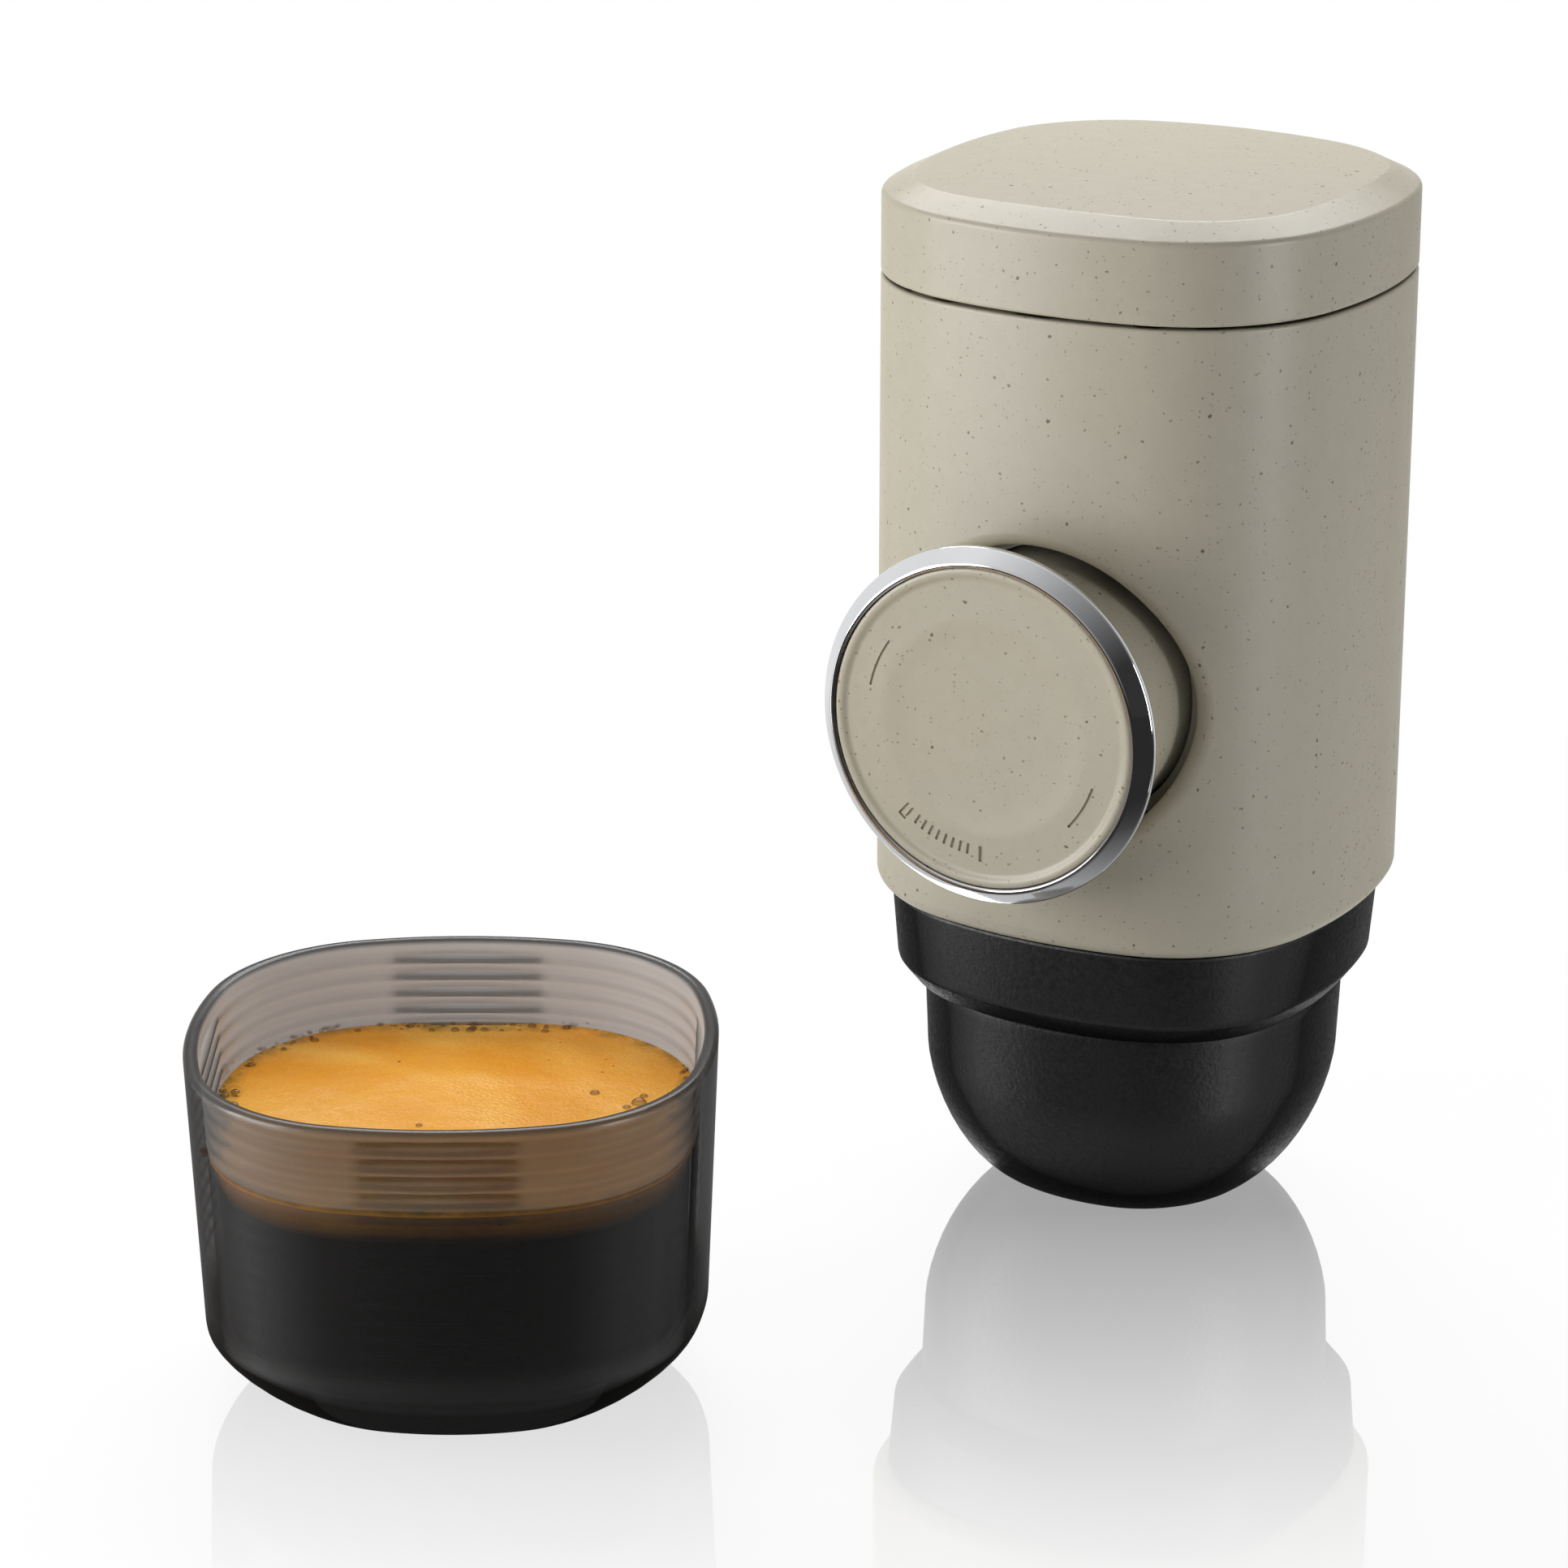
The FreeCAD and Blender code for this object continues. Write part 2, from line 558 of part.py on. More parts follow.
def make_piston():
    """The rod, the piston on its end and the two seals in the piston's grooves."""
    rod_back = "piston_back - 1.5"
    collar, front = "drum_plate + piston_back - 3.6", "drum_plate + piston_back - 1.6"
    turned_on_pump("piston_rod",
                   [("0", "0"), ("rod_radius", "0"), ("rod_radius", collar), ("6", collar), ("6", front),
                    ("1.6", front), ("1.6", f"{front} - 8"), ("0", f"{front} - 8")],
                   start=f"-({rod_back})")
    groove, edge = "piston_radius - 1.1", "piston_radius"
    turned_on_pump("piston",
                   [("0", "0"), (edge, "0"), (edge, "1.2"), (groove, "1.2"), (groove, "2.4"), (edge, "2.4"),
                    (edge, "3.6"), (groove, "3.6"), (groove, "4.8"), (edge, "4.8"), (edge, "piston_length"),
                    ("rod_radius + 0.05", "piston_length"), ("rod_radius + 0.05", "1.5"), ("0", "1.5")],
                   start="-piston_back")
    for name, low in (("piston_seal_back", 1.25), ("piston_seal_front", 3.65)):
        turned_on_pump(name, tube(f"{groove} + 0.05", "seal_radius", "0", "1.1"),
                       start=f"{low} - piston_back")


def make_pump():
    make_pump_carrier()
    make_pump_cylinder()
    gland_start = "cylinder_length - cylinder_back - 5"
    bore = "rod_radius + 0.08"
    turned_on_pump("rod_gland",
                   [(bore, "0"), ("cylinder_bore - 0.05", "0"), ("cylinder_bore - 0.05", "5"),
                    ("cylinder_radius", "5"), ("cylinder_radius", "6.5"), (bore, "6.5")], start=gland_start)
    turned_on_pump("rod_seal", tube("rod_radius + 0.06", "5", "0", "1.4"), start=f"{gland_start} + 6.55")
    turned_on_pump("knob_guide",
                   tube("guide_radius", "guide_radius + 1.2", "0", "guide_front - web_front - 0.1"),
                   start="web_front + 0.1")
    make_return_spring()
    make_piston()
    umbrella = [("0", "0"), ("1.2", "0"), ("1.2", "1.6"), ("4.1", "1.2"), ("4.1", "1.8"), ("1.4", "2.9"),
                ("0", "2.9")]
    turned("inlet_valve", umbrella, y="port_offset", z="carrier_top - 3.1")
    duckbill = [("0.7", "0"), ("4.2", "0"), ("4.2", "1"), ("2.2", "1.4"), ("1.2", "2.8"), ("0.7", "2.8")]
    turned("outlet_valve", duckbill, y="port_offset", z="carrier_base + 0.1")


# ---- knob ----

def make_knob_face():
    """The disc that the thumb pushes: a raised rim, a shallow dish and a scale of ticks."""
    body = turned_on_pump("knob_face",
                          [("0", "face_back"), ("ring_bore - 0.05", "face_back"),
                           ("ring_bore - 0.05", "knob_front - 0.4"), ("ring_bore - 0.25", "knob_front - 0.2"),
                           ("ring_bore - 1", "knob_front - 0.2"), ("ring_bore - 1.4", "knob_front - 0.6"),
                           ("13.5", "knob_front - 0.6"), ("12", "knob_front - 1"), ("0", "knob_front - 1.1")])
    for outer, start, count, step in (("tick_end", "first_tick", 8, "tick_step"),
                                      ("tick_end + 0.6", "0", 2, "mark_spread")):
        tick = draw_outline(new_sketch(body, "XY_Plane", "knob_front"),
                            [("-tick_half", f"-({outer})"), ("tick_half", f"-({outer})"),
                             ("tick_half", "-tick_start"), ("-tick_half", "-tick_start")])
        turn = Rotation(Vector(0, 0, 1), -value(start))
        tick.AttachmentOffset = Placement(tick.AttachmentOffset.Base, turn)
        polar_copies(body, pocket(body, tick, "0.85"), count, -value(step) * (count - 1))


def make_knob():
    wall_inside, spigot, head = "drum_radius - drum_wall", "ring_bore - 0.1", "ring_radius - 1.2"
    turned_on_pump("knob_drum",
                   [(wall_inside, "drum_back"), ("drum_radius", "drum_back"),
                    ("drum_radius", "ring_back - 3"), ("drum_radius + 1.9", "ring_back - 2.2"),
                    (head, "ring_back - 1.2"), (head, "ring_back - 0.1"), (spigot, "ring_back - 0.1"),
                    (spigot, "face_back - 0.1"), ("ring_bore - 1.6", "face_back - 0.1"),
                    ("ring_bore - 1.6", "drum_plate + 2"),
                    ("1.85", "drum_plate + 2"), ("1.85", "drum_plate"), (wall_inside, "drum_plate")])
    turned_on_pump("knob_ring",
                   [("ring_bore", "ring_back"), ("ring_radius - 1.2", "ring_back"),
                    ("ring_radius - 0.1", "ring_back + 1"), ("ring_radius", "ring_back + 1.2"),
                    ("ring_radius", "ring_back + 1.7"), ("ring_radius - 0.1", "ring_back + 1.9"),
                    ("ring_bore + 0.6", "knob_front - 0.05"), ("ring_bore + 0.4", "knob_front"),
                    ("ring_bore + 0.2", "knob_front"), ("ring_bore", "knob_front - 0.2")])
    make_knob_face()
    turned_on_pump("knob_screw",
                   [("0", "0"), ("1.55", "0"), ("1.55", "9.55"), ("3.5", "9.55"), ("3.5", "11.2"),
                    ("0", "11.2")],
                   start="drum_plate - 7.5")


# ---- brew head and outlet ----

def make_brew_head():
    """The plate and threaded spigot in the body's floor, with the channel from the pump."""
    body = turned("brew_head",
                  [("1.4", "brew_top"), ("1.4", "brew_deck"), ("spigot_bore", "brew_deck"),
                   ("spigot_bore", "spigot_base"), ("spigot_radius", "spigot_base"),
                   ("spigot_radius", "brew_deck"), ("socket_radius - fit_gap", "brew_deck"),
                   ("socket_radius - fit_gap", "body_floor + 0.05"),
                   ("27", "body_floor + 0.05"), ("27", "brew_top")])
    far = "port_offset + 2"
    channel = draw_outline(new_sketch(body, "XY_Plane", "brew_top"),
                           [("-1.4", "-1.4"), ("1.4", "-1.4"), ("1.4", far), ("-1.4", far)])
    pocket(body, channel, "1.6")
    for size, depth in (("1.3", "brew_top - brew_deck"), ("2.7", "1.9")):
        holes = new_sketch(body, "XY_Plane", "brew_deck")
        for x in ("brew_screw_x", "-brew_screw_x"):
            for y in ("brew_screw_near", "brew_screw_far"):
                draw_circle(holes, size, x, y)
        pocket(body, holes, depth, upwards=True)


def make_needle_plate():
    """The steel plate whose three needles open the capsule."""
    body = turned("needle_plate", tube("1", "spigot_bore - slide_gap", "needle_deck", "brew_deck - 0.05"))
    needle_height = 4.4
    needle = body.newObject("PartDesign::AdditiveCone", "Needle")
    needle.Radius1 = 0.15
    needle.Radius2 = 1.2
    needle.Height = needle_height
    needle.AttachmentSupport = [(next(p for p in body.Origin.OriginFeatures if p.Role == "XY_Plane"), "")]
    needle.MapMode = "FlatFace"
    needle.AttachmentOffset = Placement(Vector(7, 0, value("needle_deck") + 0.1 - needle_height), Rotation())
    doc.recompute()
    polar_copies(body, needle, 3)


def make_capsule_holder():
    turned("capsule_holder",
           [("15.6", "holder_base"), ("19.2", "holder_base"), ("19.2", "holder_base + 1.75"),
            ("17", "holder_base + 1.75"), ("13.9", "holder_top"), ("12.4", "holder_top")])
    turned("holder_seal", tube("19.25", "bowl_bore - 0.25", "holder_base", "holder_base + 1.5"))


def make_strainer_plate():
    """The perforated plate under the capsule, with blunt studs that press its foil."""
    body = turned("strainer_plate", tube("0.8", "plate_radius", "plate_base", "plate_top - 0.6"))
    for count, reach in ((6, "4.6"), (12, "9.2"), (18, "13.6")):
        hole = draw_circle(new_sketch(body, "XY_Plane", "plate_top"), "0.7", x=reach)
        polar_copies(body, pocket(body, hole, "2"), count)
    for count, place in ((6, 2.9), (10, 6.9), (14, 11.4)):
        stud = draw_outline(new_sketch(body, "XY_Plane", "plate_top - 0.6"),
                            [(f"{place - 0.6}", "-0.6"), (f"{place + 0.6}", "-0.6"),
                             (f"{place + 0.6}", "0.6"), (f"{place - 0.6}", "0.6")])
        polar_copies(body, pad(body, stud, "0.6"), count)


def make_outlet_collar():
    """The band that screws onto the brew head: bevelled below, with a slight taper above."""
    body = new_body("outlet_collar")
    loft(body, [body_section(body, "collar_half_base", "collar_base"),
                body_section(body, "collar_half_ledge", "collar_ledge")], ruled=True)
    loft(body, [body_section(body, "collar_half_ledge", "collar_ledge"),
                body_section(body, "collar_half_top", "collar_top")], ruled=True)
    bore = draw_circle(new_sketch(body, "XY_Plane", "collar_top"), "collar_bore")
    pocket(body, bore, "collar_top - collar_base")
    seat = draw_circle(new_sketch(body, "XY_Plane", "collar_base"), "lip_radius + fit_gap")
    pocket(body, seat, "lip_top - collar_base + fit_gap", upwards=True)


def bowl_width(level):
    """Half the bowl's width at a level below bowl_swell."""
    return ("bowl_flat + (bowl_half - bowl_flat)"
            f" * (1 - ((bowl_swell - {level}) / bowl_swell) ^ 1.5) ^ 0.42")


def make_outlet_bowl():
    """The bowl that catches the coffee and lets it out below; the maker stands on it."""
    body = new_body("outlet_bowl")
    side_ratio, corner_ratio = 1.45, 0.86
    levels = ["0", "0.35", "1.2", "3", "5.6", "9", "13"]
    sections = [scaled_section(body, bowl_width(level), level, side_ratio, corner_ratio) for level in levels]
    sections += [scaled_section(body, "bowl_half", "bowl_swell", side_ratio, corner_ratio),
                 scaled_section(body, "bowl_rim_half", "collar_base - 0.05", side_ratio, corner_ratio)]
    loft(body, sections)
    lip = draw_circle(new_sketch(body, "XY_Plane", "collar_base - 1"), "lip_radius")
    pad(body, lip, "lip_top - collar_base + 1")
    inside = [("0", "2.4"), ("6", "2.4"), ("19.5", "11"), ("19.5", "plate_base - 0.05"),
              ("bowl_bore", "plate_base - 0.05"), ("bowl_bore", "lip_top + 1"), ("0", "lip_top + 1")]
    revolve(body, draw_outline(new_sketch(body, "XZ_Plane"), inside), "Groove")
    spout = draw_circle(new_sketch(body, "XY_Plane", "2.4"), "1.2", x="3.6")
    polar_copies(body, pocket(body, spout, "2.4"), 4)


def make_outlet():
    make_brew_head()
    corners = [(f"{x}brew_screw_x", y) for x in ("", "-") for y in ("brew_screw_near", "brew_screw_far")]
    screws("brew_head_screws", corners, "brew_deck + 0.1", "2.6", "1.7", "1.25", "12")
    make_needle_plate()
    turned("brew_gasket", tube("12.8", "17.5", "holder_top + 0.15", "needle_deck - 0.05"))
    make_capsule_holder()
    make_strainer_plate()
    make_outlet_collar()
    make_outlet_bowl()


# ---- cup ----

def cup_width(level):
    """Half the cup's width at a level below cup_swell."""
    return ("cup_flat + (cup_belly - cup_flat)"
            f" * (1 - ((cup_swell - {level}) / cup_swell) ^ 1.34) ^ 0.84")


def cup_bore(level):
    """Half the cup's inner width at a level above cup_swell."""
    rise = "cup_swell + 0.4"
    return (f"cup_belly - cup_wall + (cup_half - cup_belly)"
            f" * ({level} - ({rise})) / (cup_height - ({rise}))")


def cup_body(label):
    """A piece in the cup's place, and a function that draws its sections."""
    body = new_body(label, x="cup_x", y="cup_y")
    body.Placement = Placement(body.Placement.Base, Rotation(Vector(0, 0, 1), value("cup_turn")))
    side_ratio, corner_ratio = 1.935, 0.71
    return body, lambda half, level: scaled_section(body, half, level, side_ratio, corner_ratio)


def make_cup():
    """The cup: a rounded square with a bevelled foot, and straight ribs inside its bowed sides."""
    body, section = cup_body("cup")
    foot = [section(cup_width(level), level) for level in ("0", "1.2", "3", "5.2", "7.6")]
    loft(body, foot + [section("cup_belly", "cup_swell")])
    loft(body, [section("cup_belly", "cup_swell"), section("cup_half", "cup_height")], ruled=True)
    knee = ("cup_belly - cup_wall", "cup_swell + 0.4")
    loft(body, [section(*knee), section("cup_half - cup_wall", "cup_height")], "SubtractiveLoft", ruled=True)
    loft(body, [section("cup_flat - 0.4", "cup_floor"), section(f"{cup_width('5.2')} - 1.9", "5.6"),
                section(f"{cup_width('7.6')} - 1.9", "8"), section(*knee)], "SubtractiveLoft")
    round_edges(body, "0.7", at_level("cup_height"))
    for rib in range(13):
        level = f"rib_base + {rib} * rib_pitch"
        tip, root = f"-({cup_bore(level)} - rib_depth)", f"-({cup_bore(level)} + 0.3)"
        bar = draw_outline(new_sketch(body, "XY_Plane", level),
                           [("-rib_reach", root), ("rib_reach", root), ("rib_reach", tip),
                            ("-rib_reach", tip)])
        polar_copies(body, pad(body, bar, "rib_height"), 4)


def make_espresso():
    """The drink that stands in the cup: one plain solid, clear of the ribs."""
    body, section = cup_body("espresso")
    knee = ("cup_belly - cup_wall - coffee_gap", "cup_swell + 0.4")
    loft(body, [section("cup_flat - 0.4 - coffee_gap", "cup_floor + 0.05"),
                section(f"{cup_width('5.2')} - 1.9 - coffee_gap", "5.6"),
                section(f"{cup_width('7.6')} - 1.9 - coffee_gap", "8"), section(*knee)])
    loft(body, [section(*knee),
                section(f"{cup_bore('coffee_level')} - coffee_gap", "coffee_level")], ruled=True)


# ---- the whole maker ----

def check_everything():
    for item in doc.Objects:
        if "Invalid" in item.State or "Error" in item.State:
            raise RuntimeError(f"{item.Name} ({item.Label}) failed: {item.State}")
    for piece in parts:
        if piece.Shape.isNull() or not piece.Shape.isValid():
            raise RuntimeError(f"{piece.Label} has no valid shape")


make_main_housing()
make_water_tank()
make_intake_filter()
make_lid()
make_pump()
make_knob()
make_outlet()
make_cup()
make_espresso()
doc.recompute()
check_everything()

os.makedirs("parts", exist_ok=True)
for piece in parts:
    piece.Shape.exportStep(f"parts/{piece.Label}.step")
    box = piece.Shape.BoundBox
    print(f"{piece.Label:18} {len(piece.Shape.Solids)} solids {piece.Shape.Volume / 1000:8.3f} cm3",
          f"x {box.XMin:7.2f} {box.XMax:7.2f}  y {box.YMin:7.2f} {box.YMax:7.2f}",
          f"z {box.ZMin:7.2f} {box.ZMax:7.2f}")
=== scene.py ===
import math
import random

import bpy
from mathutils import Matrix, Vector


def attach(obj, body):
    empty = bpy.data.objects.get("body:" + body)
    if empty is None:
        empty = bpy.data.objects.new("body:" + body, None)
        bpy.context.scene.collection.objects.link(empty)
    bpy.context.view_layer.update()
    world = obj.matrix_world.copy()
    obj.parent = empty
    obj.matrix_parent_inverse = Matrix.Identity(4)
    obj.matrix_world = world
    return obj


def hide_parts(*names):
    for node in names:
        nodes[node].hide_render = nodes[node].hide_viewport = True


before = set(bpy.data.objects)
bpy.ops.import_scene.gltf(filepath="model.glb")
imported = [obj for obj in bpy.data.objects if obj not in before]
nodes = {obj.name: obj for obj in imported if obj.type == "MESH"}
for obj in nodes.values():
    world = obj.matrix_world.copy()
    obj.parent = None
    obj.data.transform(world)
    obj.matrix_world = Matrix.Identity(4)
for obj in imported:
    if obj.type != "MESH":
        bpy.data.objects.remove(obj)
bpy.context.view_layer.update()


# ---- Body shell and lid cap ----
# The outer shell is one thick-walled moulding of bioplastic filled with ground coffee husk.
# The mould leaves a satin skin with a very fine grain, and the husk shows as small dark flecks.

MM = 0.001
# corners closer than this are one corner
SAME_PLACE = 0.001 * MM


def per_metre(size):
    """The scale of a pattern whose cells are this many millimetres wide."""
    return 1 / (size * MM)


def linear(code):
    """An sRGB hex colour as the linear RGBA that Blender's sockets take."""
    shares = [int(code[i:i + 2], 16) / 255 for i in (1, 3, 5)]
    return (*[s / 12.92 if s <= 0.04045 else ((s + 0.055) / 1.055) ** 2.4 for s in shares], 1.0)


def add(material, kind, links=None, **settings):
    """Add one shader node. Links give its sockets a value or another node's output."""
    made = material.node_tree.nodes.new("ShaderNode" + kind)
    for name, value in settings.items():
        setattr(made, name, value)
    for name, value in (links or {}).items():
        if isinstance(value, bpy.types.NodeSocket):
            material.node_tree.links.new(value, made.inputs[name])
        else:
            made.inputs[name].default_value = value
    return made


def new_finish(name, **sockets):
    """A material with its shader and the object's coordinates, in metres."""
    material = bpy.data.materials.new(name)
    material.use_nodes = True
    shader = material.node_tree.nodes["Principled BSDF"]
    for socket, value in sockets.items():
        shader.inputs[socket.replace("_", " ")].default_value = value
    return material, shader, add(material, "TexCoord").outputs["Object"]


def join(material, socket, value):
    material.node_tree.links.new(value, socket)


def select_only(piece):
    bpy.ops.object.select_all(action="DESELECT")
    piece.select_set(True)
    bpy.context.view_layer.objects.active = piece


def apply_modifier(piece, kind, **settings):
    select_only(piece)
    modifier = piece.modifiers.new(kind.title(), kind)
    for name, value in settings.items():
        setattr(modifier, name, value)
    bpy.ops.object.modifier_apply(modifier=modifier.name)


def finish_mesh(piece, material, body, node, sharp=30):
    """Smooth, in its material, riding on its body and shown in place of its CAD node."""
    select_only(piece)
    bpy.ops.object.shade_smooth_by_angle(angle=math.radians(sharp))
    piece.data.materials.clear()
    piece.data.materials.append(material)
    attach(piece, body)
    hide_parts(node)


def soften_edges(material, shader, shine, edge_shine, start=0.3, end=0.7):
    """Weaken the mirror shine where a grained surface is seen edge on, as its grain shades itself there."""
    facing = add(material, "LayerWeight", {"Blend": 0.5}).outputs["Facing"]
    level = add(material, "MapRange", {"Value": facing, "From Min": start, "From Max": end,
                                       "To Min": shine, "To Max": edge_shine})
    join(material, shader.inputs["Specular IOR Level"], level.outputs["Result"])
    return level.outputs["Result"]


husk_plastic, shader, place = new_finish("moulded husk-filled bioplastic", Roughness=0.44)
shader.inputs["IOR"].default_value = 1.46
soften_edges(husk_plastic, shader, 1.0, 0.06)
cloud = add(husk_plastic, "TexNoise", {"Vector": place, "Scale": per_metre(2.4), "Detail": 5.0,
                                       "Roughness": 0.7})
colour = add(husk_plastic, "Mix", {"Factor": cloud.outputs["Fac"], "A": linear("#B0AA97"),
                                   "B": linear("#BCB6A4")}, data_type="RGBA").outputs["Result"]
RAGGED = 0.6 * MM
# (width of a cell in mm, a fleck's largest radius in cells, share of cells with a fleck, colour)
# the husk grains are up to 0.3, 0.45 and 0.6 mm across, and RAGGED makes their edges uneven
for width, reach, share, shade in ((0.625, 0.25, 0.6, "#8B816D"), (1.0, 0.22, 0.8, "#7B705B"),
                                   (2.3, 0.13, 0.8, "#655843")):
    wobble = add(husk_plastic, "TexNoise", {"Vector": place, "Scale": per_metre(width) * 3, "Detail": 2.0})
    shifted = add(husk_plastic, "VectorMath", {0: wobble.outputs["Color"], 1: (RAGGED, RAGGED, RAGGED)},
                  operation="MULTIPLY")
    moved = add(husk_plastic, "VectorMath", {0: place, 1: shifted.outputs[0]}, operation="ADD")
    cells = add(husk_plastic, "TexVoronoi", {"Vector": moved.outputs[0], "Scale": per_metre(width)})
    chance = add(husk_plastic, "SeparateColor", {"Color": cells.outputs["Color"]})
    size = add(husk_plastic, "MapRange", {"Value": chance.outputs["Red"], "From Min": 0.0,
                                          "From Max": share, "To Min": reach, "To Max": 0.0})
    fleck = add(husk_plastic, "Math", {0: size.outputs["Result"], 1: cells.outputs["Distance"]},
                operation="SUBTRACT")
    edge = add(husk_plastic, "MapRange", {"Value": fleck.outputs[0], "From Min": 0.0,
                                          "From Max": reach * 0.35})
    colour = add(husk_plastic, "Mix", {"Factor": edge.outputs["Result"], "A": colour, "B": linear(shade)},
                 data_type="RGBA").outputs["Result"]
join(husk_plastic, shader.inputs["Base Color"], colour)
# the mould's own grain is about 0.1 mm, and is drawn at 0.3 mm so that it shows
grain = add(husk_plastic, "TexNoise", {"Vector": place, "Scale": per_metre(0.3), "Detail": 3.0})
relief = add(husk_plastic, "Bump", {"Height": grain.outputs["Fac"], "Strength": 0.15, "Distance": 0.1 * MM})
join(husk_plastic, shader.inputs["Normal"], relief.outputs["Normal"])

# each skin is a copy of its CAD node with the triangles joined, so that its curved faces shade smoothly
for node, body in (("main_housing", "main_body"), ("lid_cap", "lid")):
    skin = bpy.data.objects.new(node + "_skin", nodes[node].data.copy())
    bpy.context.scene.collection.objects.link(skin)
    select_only(skin)
    bpy.ops.object.mode_set(mode="EDIT")
    bpy.ops.mesh.select_all(action="SELECT")
    bpy.ops.mesh.remove_doubles(threshold=SAME_PLACE)
    bpy.ops.object.mode_set(mode="OBJECT")
    finish_mesh(skin, husk_plastic, body, node, sharp=35)
    apply_modifier(skin, "WEIGHTED_NORMAL", keep_sharp=True)


# ---- Inner plastic parts ----
# The carrier, gland and piston are moulded in plain dark-grey acetal, a slippery plastic.
# It leaves the mould with a dull, even surface. The guide behind the knob is of the shell's own plastic.

def paint(material, *names):
    """Give CAD nodes this finish."""
    for name in names:
        nodes[name].data.materials.clear()
        nodes[name].data.materials.append(material)


acetal, shader, place = new_finish("moulded grey acetal", Roughness=0.4)
cloud = add(acetal, "TexNoise", {"Vector": place, "Scale": per_metre(1.1), "Detail": 3.0})
colour = add(acetal, "Mix", {"Factor": cloud.outputs["Fac"], "A": linear("#3A3B3C"),
                             "B": linear("#454648")}, data_type="RGBA")
join(acetal, shader.inputs["Base Color"], colour.outputs["Result"])
relief = add(acetal, "Bump", {"Height": cloud.outputs["Fac"], "Strength": 0.1, "Distance": 0.1 * MM})
join(acetal, shader.inputs["Normal"], relief.outputs["Normal"])
paint(acetal, "pump_carrier", "rod_gland", "piston")
paint(husk_plastic, "knob_guide")


# ---- Water tank ----
# The tank is a liner of milky polypropylene, blow-moulded and dropped into the shell.
# It is slightly glossy and a little uneven.

polypropylene, shader, place = new_finish("blow-moulded polypropylene", Roughness=0.3)
cloud = add(polypropylene, "TexNoise", {"Vector": place, "Scale": per_metre(7.0), "Detail": 2.0})
colour = add(polypropylene, "Mix", {"Factor": cloud.outputs["Fac"], "A": linear("#9FA09B"),
                                    "B": linear("#A9AAA5")}, data_type="RGBA")
join(polypropylene, shader.inputs["Base Color"], colour.outputs["Result"])
relief = add(polypropylene, "Bump", {"Height": cloud.outputs["Fac"], "Strength": 0.15,
                                     "Distance": 0.4 * MM})
join(polypropylene, shader.inputs["Normal"], relief.outputs["Normal"])
paint(polypropylene, "water_tank")


# ---- Steel parts ----
# Rods, screws, the needle plate and the strainers are 304 stainless steel, drawn or stamped.
# Drawing leaves fine lines, about a tenth of a millimetre apart, that make the shine uneven.

stainless, shader, place = new_finish("drawn stainless steel", Metallic=1.0)
LINES_PER_CELL = 12.0
stretched = add(stainless, "Mapping", {"Vector": place, "Scale": (1.0, 1.0, LINES_PER_CELL)})
lines = add(stainless, "TexNoise", {"Vector": stretched.outputs["Vector"], "Scale": per_metre(1.2),
                                    "Detail": 2.0})
colour = add(stainless, "Mix", {"Factor": lines.outputs["Fac"], "A": linear("#A9A8A5"),
                                "B": linear("#C2C1BE")}, data_type="RGBA")
join(stainless, shader.inputs["Base Color"], colour.outputs["Result"])
dullness = add(stainless, "MapRange", {"Value": lines.outputs["Fac"], "To Min": 0.2, "To Max": 0.34})
join(stainless, shader.inputs["Roughness"], dullness.outputs["Result"])
paint(stainless, "pump_cylinder", "piston_rod", "needle_plate", "intake_filter", "return_spring",
      "lid_screws", "brew_head_screws", "knob_screw")


# ---- Seals and valves ----
# The seals and the umbrella valves are pressed from red-brown food-grade silicone rubber.
# It is soft and matt, with a dusty look.

silicone, shader, place = new_finish("pressed silicone rubber", Roughness=0.62)
cloud = add(silicone, "TexNoise", {"Vector": place, "Scale": per_metre(2.0), "Detail": 3.0})
colour = add(silicone, "Mix", {"Factor": cloud.outputs["Fac"], "A": linear("#7A3A2C"),
                               "B": linear("#874636")}, data_type="RGBA")
join(silicone, shader.inputs["Base Color"], colour.outputs["Result"])
relief = add(silicone, "Bump", {"Height": cloud.outputs["Fac"], "Strength": 0.15, "Distance": 0.1 * MM})
join(silicone, shader.inputs["Normal"], relief.outputs["Normal"])
paint(silicone, "vent_valve", "inlet_valve", "outlet_valve", "rod_seal", "piston_seal_back",
      "piston_seal_front", "brew_gasket", "holder_seal", "lid_gasket")


# ---- Black head ----
# The outlet's band and bowl, the brew head and the lid's plug are matt black glass-filled nylon.
# The spark-eroded mould gives it a fine grain of about 0.15 mm that catches small glints.

# the pattern starts at 0.6 mm and its detail reaches the grain and below
nylon, shader, place = new_finish("matt black glass-filled nylon")
shader.inputs["IOR"].default_value = 1.5
soften_edges(nylon, shader, 0.6, 0.02, start=0.22, end=0.55)
cloud = add(nylon, "TexNoise", {"Vector": place, "Scale": per_metre(0.6), "Detail": 4.0, "Roughness": 0.65})
colour = add(nylon, "Mix", {"Factor": cloud.outputs["Fac"], "A": linear("#0A0A0B"), "B": linear("#161617")},
             data_type="RGBA")
join(nylon, shader.inputs["Base Color"], colour.outputs["Result"])
dullness = add(nylon, "MapRange", {"Value": cloud.outputs["Fac"], "From Min": 0.3, "From Max": 0.7,
                                   "To Min": 0.34, "To Max": 0.56})
join(nylon, shader.inputs["Roughness"], dullness.outputs["Result"])
relief = add(nylon, "Bump", {"Height": cloud.outputs["Fac"], "Strength": 0.5, "Distance": 0.15 * MM})
join(nylon, shader.inputs["Normal"], relief.outputs["Normal"])
paint(nylon, "brew_head", "capsule_holder", "lid_plug", "strainer_plate")


